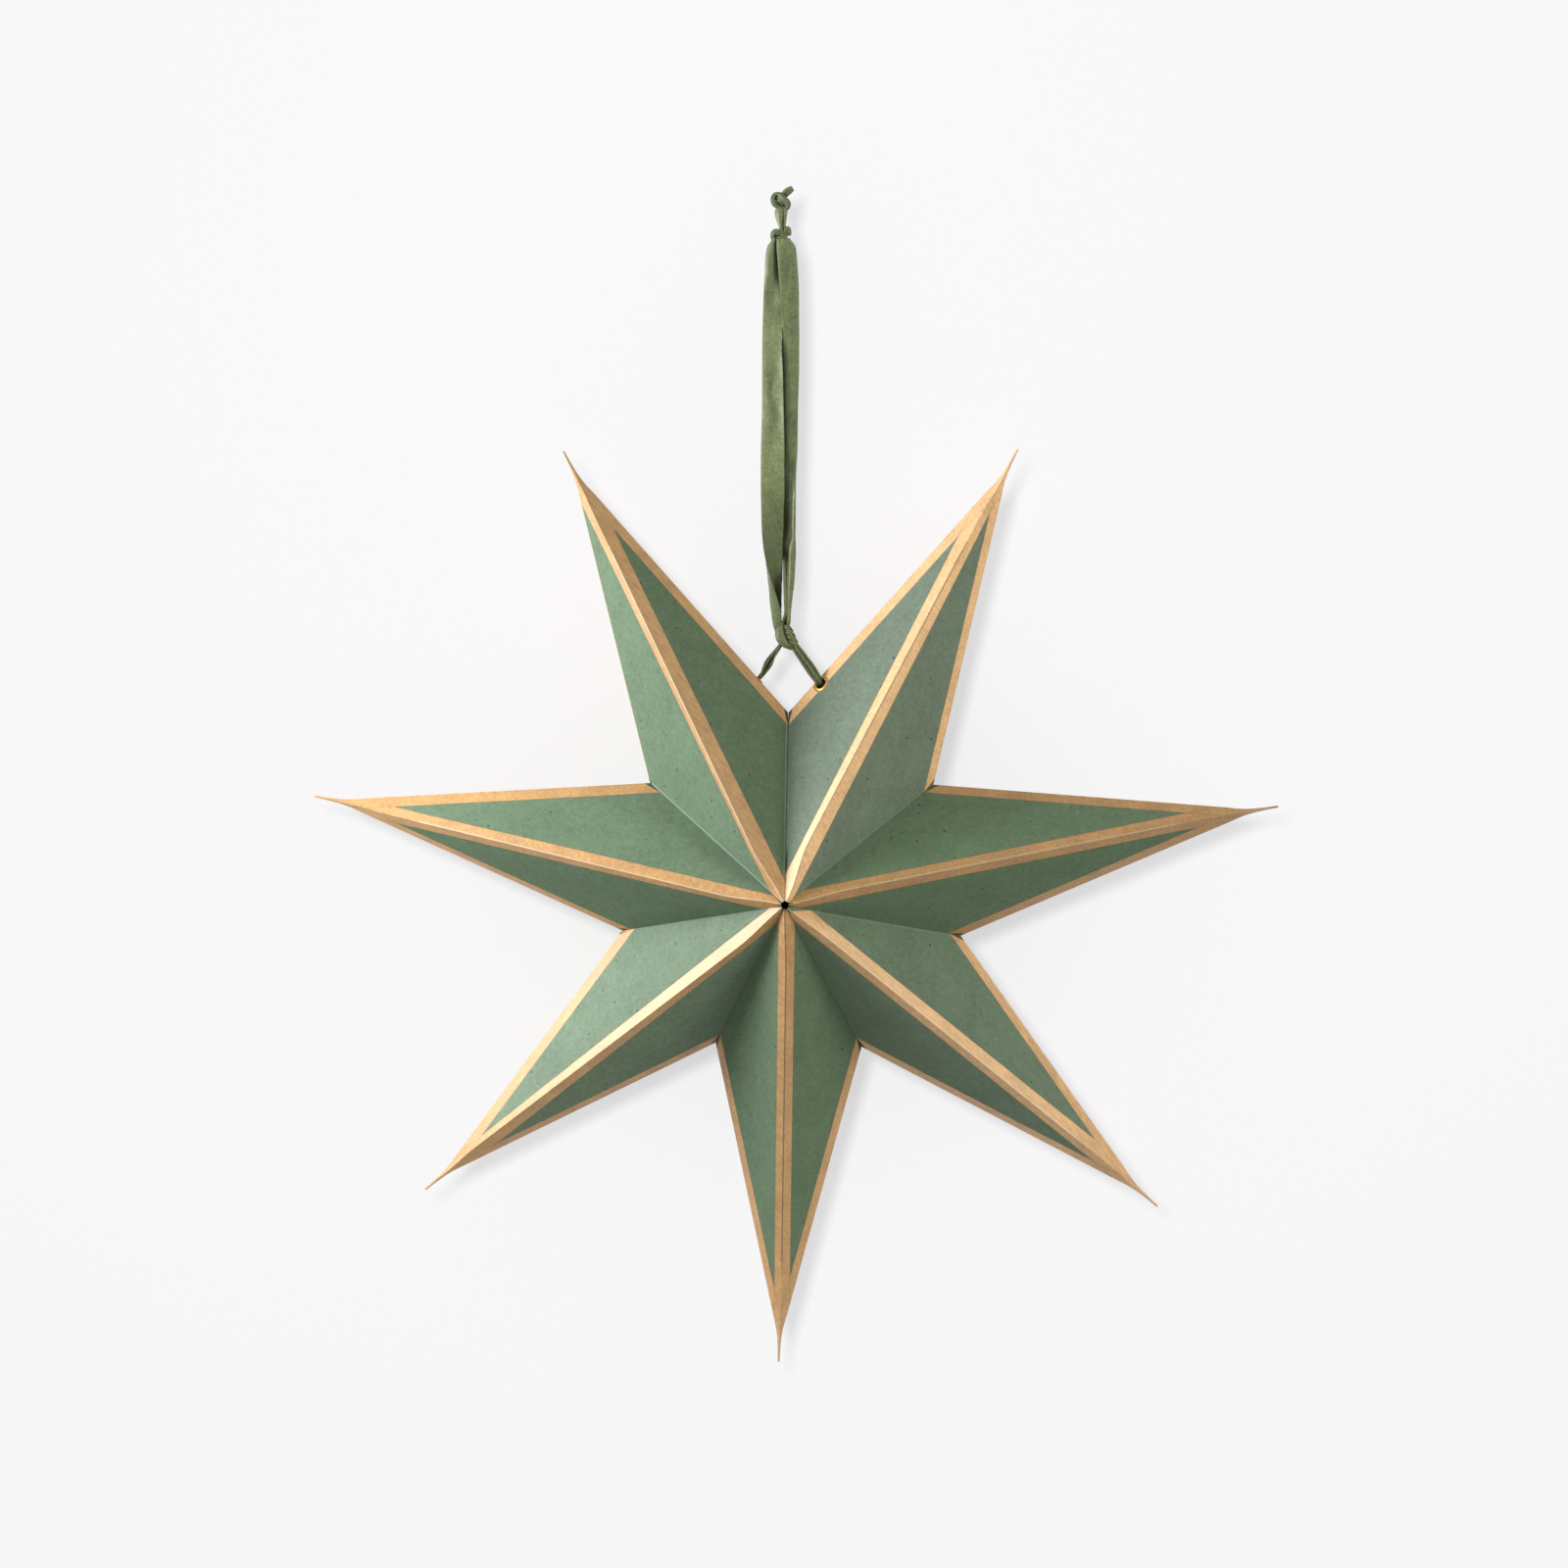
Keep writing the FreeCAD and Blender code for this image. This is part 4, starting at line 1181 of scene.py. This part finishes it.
class STAR_OT_stage(bpy.types.Operator):
    """Camera, lamps and the pale backdrop"""

    bl_idname = "star.stage"
    bl_label = "Stage"

    def execute(self, context):
        settings = context.scene.star_stage
        self.camera(context, settings)
        wall = self.backdrop(settings)
        self.lamps(context, settings, wall)
        self.world(context, settings)
        context.scene.view_settings.view_transform = "Standard"
        return {"FINISHED"}

    def camera(self, context, settings):
        camera = bpy.data.objects.new("camera", bpy.data.cameras.new("camera"))
        context.scene.collection.objects.link(camera)
        eye = CENTRE + EYE
        target = CENTRE + LOOK_AT
        camera.location = eye
        camera.rotation_euler = (target - eye).to_track_quat("-Z", "Y").to_euler()
        camera.data.lens = settings.lens
        camera.data.clip_end = 20
        context.scene.camera = camera

    def backdrop(self, settings):
        """A wall just behind the star; from behind it is see-through, so the star's back shows."""
        shader = Shader("backdrop_paint")
        seen = seen_ray(shader)
        behind = shader.add("ShaderNodeNewGeometry")["Backfacing"]
        bare = shader.add("ShaderNodeBsdfDiffuse", None, {"Color": WALL_BARE})["BSDF"]
        shade = shader.add("ShaderNodeBsdfDiffuse", None, {"Color": WALL_SHADE})["BSDF"]
        glow_inputs = {"Color": WALL_GLOW, "Strength": WALL_GLOW_STRENGTH}
        glow = shader.add("ShaderNodeEmission", None, glow_inputs)["Emission"]
        lit = shader.add("ShaderNodeAddShader", None, {0: shade, 1: glow})["Shader"]
        front = shader.add("ShaderNodeMixShader", None, {0: seen, 1: bare, 2: lit})["Shader"]
        clear = shader.add("ShaderNodeBsdfTransparent")["BSDF"]
        whole = shader.add("ShaderNodeMixShader", None, {0: behind, 1: front, 2: clear})["Shader"]
        bm = bmesh.new()
        bmesh.ops.create_grid(bm, x_segments=1, y_segments=1, size=WALL_HALF)
        wall_place = Vector((CENTRE.x, (HALF_DEPTH + WALL_GAP) * MM, CENTRE.z))
        bmesh.ops.rotate(bm, verts=bm.verts, matrix=Matrix.Rotation(math.pi / 2, 3, "X"))
        bmesh.ops.translate(bm, verts=bm.verts, vec=wall_place)
        mesh = bpy.data.meshes.new("backdrop")
        bm.to_mesh(mesh)
        bm.free()
        mesh.materials.append(shader.finish(whole))
        wall = bpy.data.objects.new("backdrop", mesh)
        bpy.context.scene.collection.objects.link(wall)
        return wall

    def lamps(self, context, settings, wall):
        """A near softbox on the left, a broad fill on the right, and the backdrop's own lamp."""
        key = bpy.data.lights.new("key", "AREA")
        key.shape = "DISK"
        key.size = KEY_SIZE
        key.energy = settings.key_power
        key.color = KEY_COLOUR
        fill = bpy.data.lights.new("fill", "SUN")
        fill.energy = settings.fill_power
        fill.color = FILL_COLOUR
        fill.angle = FILL_ANGLE
        for data, away, place in (
            (key, from_star(*KEY_FROM), KEY_AWAY),
            (fill, from_star(*FILL_FROM), FILL_AWAY),
        ):
            lamp = bpy.data.objects.new(data.name, data)
            lamp.location = CENTRE + away * place
            lamp.rotation_euler = away.to_track_quat("Z", "Y").to_euler()
            context.scene.collection.objects.link(lamp)
            skipped = bpy.data.collections.new("not_lit_by_" + data.name)
            skipped.objects.link(wall)
            lamp.light_linking.receiver_collection = skipped
            skipped.collection_objects[0].light_linking.link_state = "EXCLUDE"

        soft = bpy.data.lights.new("wall_lamp", "POINT")
        soft.energy = settings.wall_power
        shader = Shader("wall_lamp", soft)
        falloff = shader.add("ShaderNodeLightFalloff", None, {"Strength": 1.0})["Constant"]
        white = {"Color": (1, 1, 1, 1), "Strength": falloff}
        even = shader.add("ShaderNodeEmission", None, white)["Emission"]
        out = shader.add("ShaderNodeOutputLight")
        shader.tree.links.new(even.socket, out.node.inputs["Surface"])
        soft.shadow_soft_size = WALL_LAMP_RADIUS
        lamp = bpy.data.objects.new("wall_lamp", soft)
        lamp.location = context.scene.camera.location + WALL_LAMP_OFF
        context.scene.collection.objects.link(lamp)
        lit = bpy.data.collections.new("lit_by_wall_lamp")
        lit.objects.link(wall)
        lamp.light_linking.receiver_collection = lit

    def world(self, context, settings):
        world = bpy.data.worlds.new("studio")
        context.scene.world = world
        shader = Shader("studio", world)
        seen = seen_ray(shader)
        soft_inputs = {"Color": (1.0, 1.0, 1.0, 1), "Strength": settings.ambient}
        soft = shader.add("ShaderNodeBackground", None, soft_inputs)["Background"]
        pale_inputs = {"Color": tuple(settings.wall_colour), "Strength": 1.0}
        pale = shader.add("ShaderNodeBackground", None, pale_inputs)["Background"]
        both = shader.add("ShaderNodeMixShader", None, {0: seen, 1: soft, 2: pale})["Shader"]
        out = shader.add("ShaderNodeOutputWorld")
        shader.tree.links.new(both.socket, out.node.inputs["Surface"])


def from_star(right, up):
    """A direction away from the star's front, by degrees to the right and up."""
    right, up = math.radians(right), math.radians(up)
    return Vector((math.sin(right) * math.cos(up), -math.cos(right) * math.cos(up), math.sin(up)))


def seen_ray(shader):
    """1 for what the camera sees, also by a reflection, and 0 for light on other surfaces."""
    ray = shader.add("ShaderNodeLightPath")
    return (ray["Is Camera Ray"] + ray["Is Glossy Ray"] + ray["Is Transmission Ray"]).clamped()


class STAR_OT_ribbon_loop(bpy.types.Operator):
    """The two hanging sides of the ribbon loop, its stem and its cut tail"""

    bl_idname = "star.ribbon_loop"
    bl_label = "Ribbon loop"

    def execute(self, context):
        settings = context.scene.star_ribbon
        satin = ribbon_satin(settings, "ribbon_satin")
        left_satin = ribbon_satin(settings, "ribbon_satin_left", turned_away=LEFT_TURNED_SHADE)
        for side, route, rows, material in (
            ("left", LEFT_SIDE, LEFT_BAND, left_satin),
            ("right", RIGHT_SIDE, RIGHT_BAND, satin),
        ):
            points = [on_star(across, up) for across, up in route]
            path = spline_points(points, steps=18)
            band = sweep_ribbon("ribbon_side_" + side, path, rows, material, settings.thickness / MM, 30)
            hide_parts("ribbon_loop_" + side)
        stem_path = spline_points([on_star(*place) for place in STEM_PLACES])
        stem = sweep_ribbon("ribbon_stem_wrap", stem_path, STEM_BAND, satin, steps=24)
        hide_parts("ribbon_stem")
        tail_path = spline_points([on_star(*place) for place in TAIL_PLACES])
        tail = sweep_ribbon("ribbon_cut_tail", tail_path, TAIL_BAND, satin)
        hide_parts("ribbon_tail")
        return {"FINISHED"}


class STAR_OT_ribbon_tie(bpy.types.Operator):
    """The gathered ribbon from the lower knot through both eyelets"""

    bl_idname = "star.ribbon_tie"
    bl_label = "Ribbon tie"

    def execute(self, context):
        settings = context.scene.star_ribbon
        satin = ribbon_satin(settings, "ribbon_satin_tie", TIE_PAINTED_SHADE)
        path = spline_points([Vector(place) * MM for place in TIE_ROUTE], steps=12)
        rows = [(row[0], *rolled(*row[1:])) for row in TIE_BAND]
        tie = sweep_ribbon("ribbon_tie_strand", path, rows, satin, thickness=0.6)
        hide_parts("ribbon_tie")
        return {"FINISHED"}


class STAR_OT_ribbon_knots(bpy.types.Operator):
    """The three knots, each of several bunched lobes of ribbon"""

    bl_idname = "star.ribbon_knots"
    bl_label = "Ribbon knots"

    def execute(self, context):
        settings = context.scene.star_ribbon
        satin = ribbon_satin(settings, "ribbon_satin_knots", KNOT_PAINTED_SHADE)
        for name, lobes in (
            ("lower", LOWER_KNOT_LOBES),
            ("upper", UPPER_KNOT_LOBES),
            ("end", END_KNOT_LOBES),
        ):
            parts = []
            for number, (places, first, middle, last, roll, pleat, pleats) in enumerate(lobes):
                path = spline_points([on_star(*place) for place in places], steps=8)
                rows = [
                    (share, *rolled(width, roll, 0, pleat, pleats, LOBE_PHASE * share))
                    for share, width in ((0.0, first), (0.5, middle), (1.0, last))
                ]
                parts.append(sweep_ribbon(f"lobe_{number}", path, rows, satin, thickness=0.5))
            knot = join_pieces(f"ribbon_knot_{name}", parts)
            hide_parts(f"ribbon_{name}_knot")
        return {"FINISHED"}


class STAR_OT_paper_points(bpy.types.Operator):
    """The seven folded paper points, with their glue flaps and gold folds"""

    bl_idname = "star.paper_points"
    bl_label = "Paper points"

    def execute(self, context):
        settings = context.scene.star_paper
        inside = plain_paper(settings)
        for name in POINTS:
            point = FoldedPoint(name, settings)
            outside = painted_paper(settings, point)
            piece = point.build((outside, inside))
            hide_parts("point_" + name)
        return {"FINISHED"}


class STAR_OT_eyelets(bpy.types.Operator):
    """Polished brass on the two eyelets"""

    bl_idname = "star.eyelets"
    bl_label = "Eyelets"

    def execute(self, context):
        brass = polished_brass(context.scene.star_stage)
        for name in ("eyelet_right", "eyelet_left"):
            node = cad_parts[name]
            node.data.materials.clear()
            node.data.materials.append(brass)
            for face in node.data.polygons:
                face.use_smooth = True
        return {"FINISHED"}


class STAR_PT_panel(bpy.types.Panel):
    """The star's settings and making steps"""

    bl_label = "Paper star"
    bl_idname = "STAR_PT_panel"
    bl_space_type = "VIEW_3D"
    bl_region_type = "UI"
    bl_category = "Paper star"

    def draw(self, context):
        for group in (context.scene.star_stage, context.scene.star_ribbon, context.scene.star_paper):
            for name in group.__annotations__:
                self.layout.prop(group, name)
        for operator in OPERATORS:
            self.layout.operator(operator.bl_idname)


SETTINGS = (StarPaperSettings, StarRibbonSettings, StarStageSettings)
OPERATORS = (
    STAR_OT_stage,
    STAR_OT_ribbon_loop,
    STAR_OT_ribbon_tie,
    STAR_OT_ribbon_knots,
    STAR_OT_paper_points,
    STAR_OT_eyelets,
)


def register():
    for item in (*SETTINGS, *OPERATORS, STAR_PT_panel):
        bpy.utils.register_class(item)
    bpy.types.Scene.star_paper = PointerProperty(type=StarPaperSettings)
    bpy.types.Scene.star_ribbon = PointerProperty(type=StarRibbonSettings)
    bpy.types.Scene.star_stage = PointerProperty(type=StarStageSettings)


def unregister():
    del bpy.types.Scene.star_stage
    del bpy.types.Scene.star_ribbon
    del bpy.types.Scene.star_paper
    for item in reversed((*SETTINGS, *OPERATORS, STAR_PT_panel)):
        bpy.utils.unregister_class(item)


def main():
    register()
    bpy.ops.star.stage()
    bpy.ops.star.ribbon_loop()
    bpy.ops.star.ribbon_tie()
    bpy.ops.star.ribbon_knots()
    bpy.ops.star.paper_points()
    bpy.ops.star.eyelets()


if __name__ == "__main__":
    main()
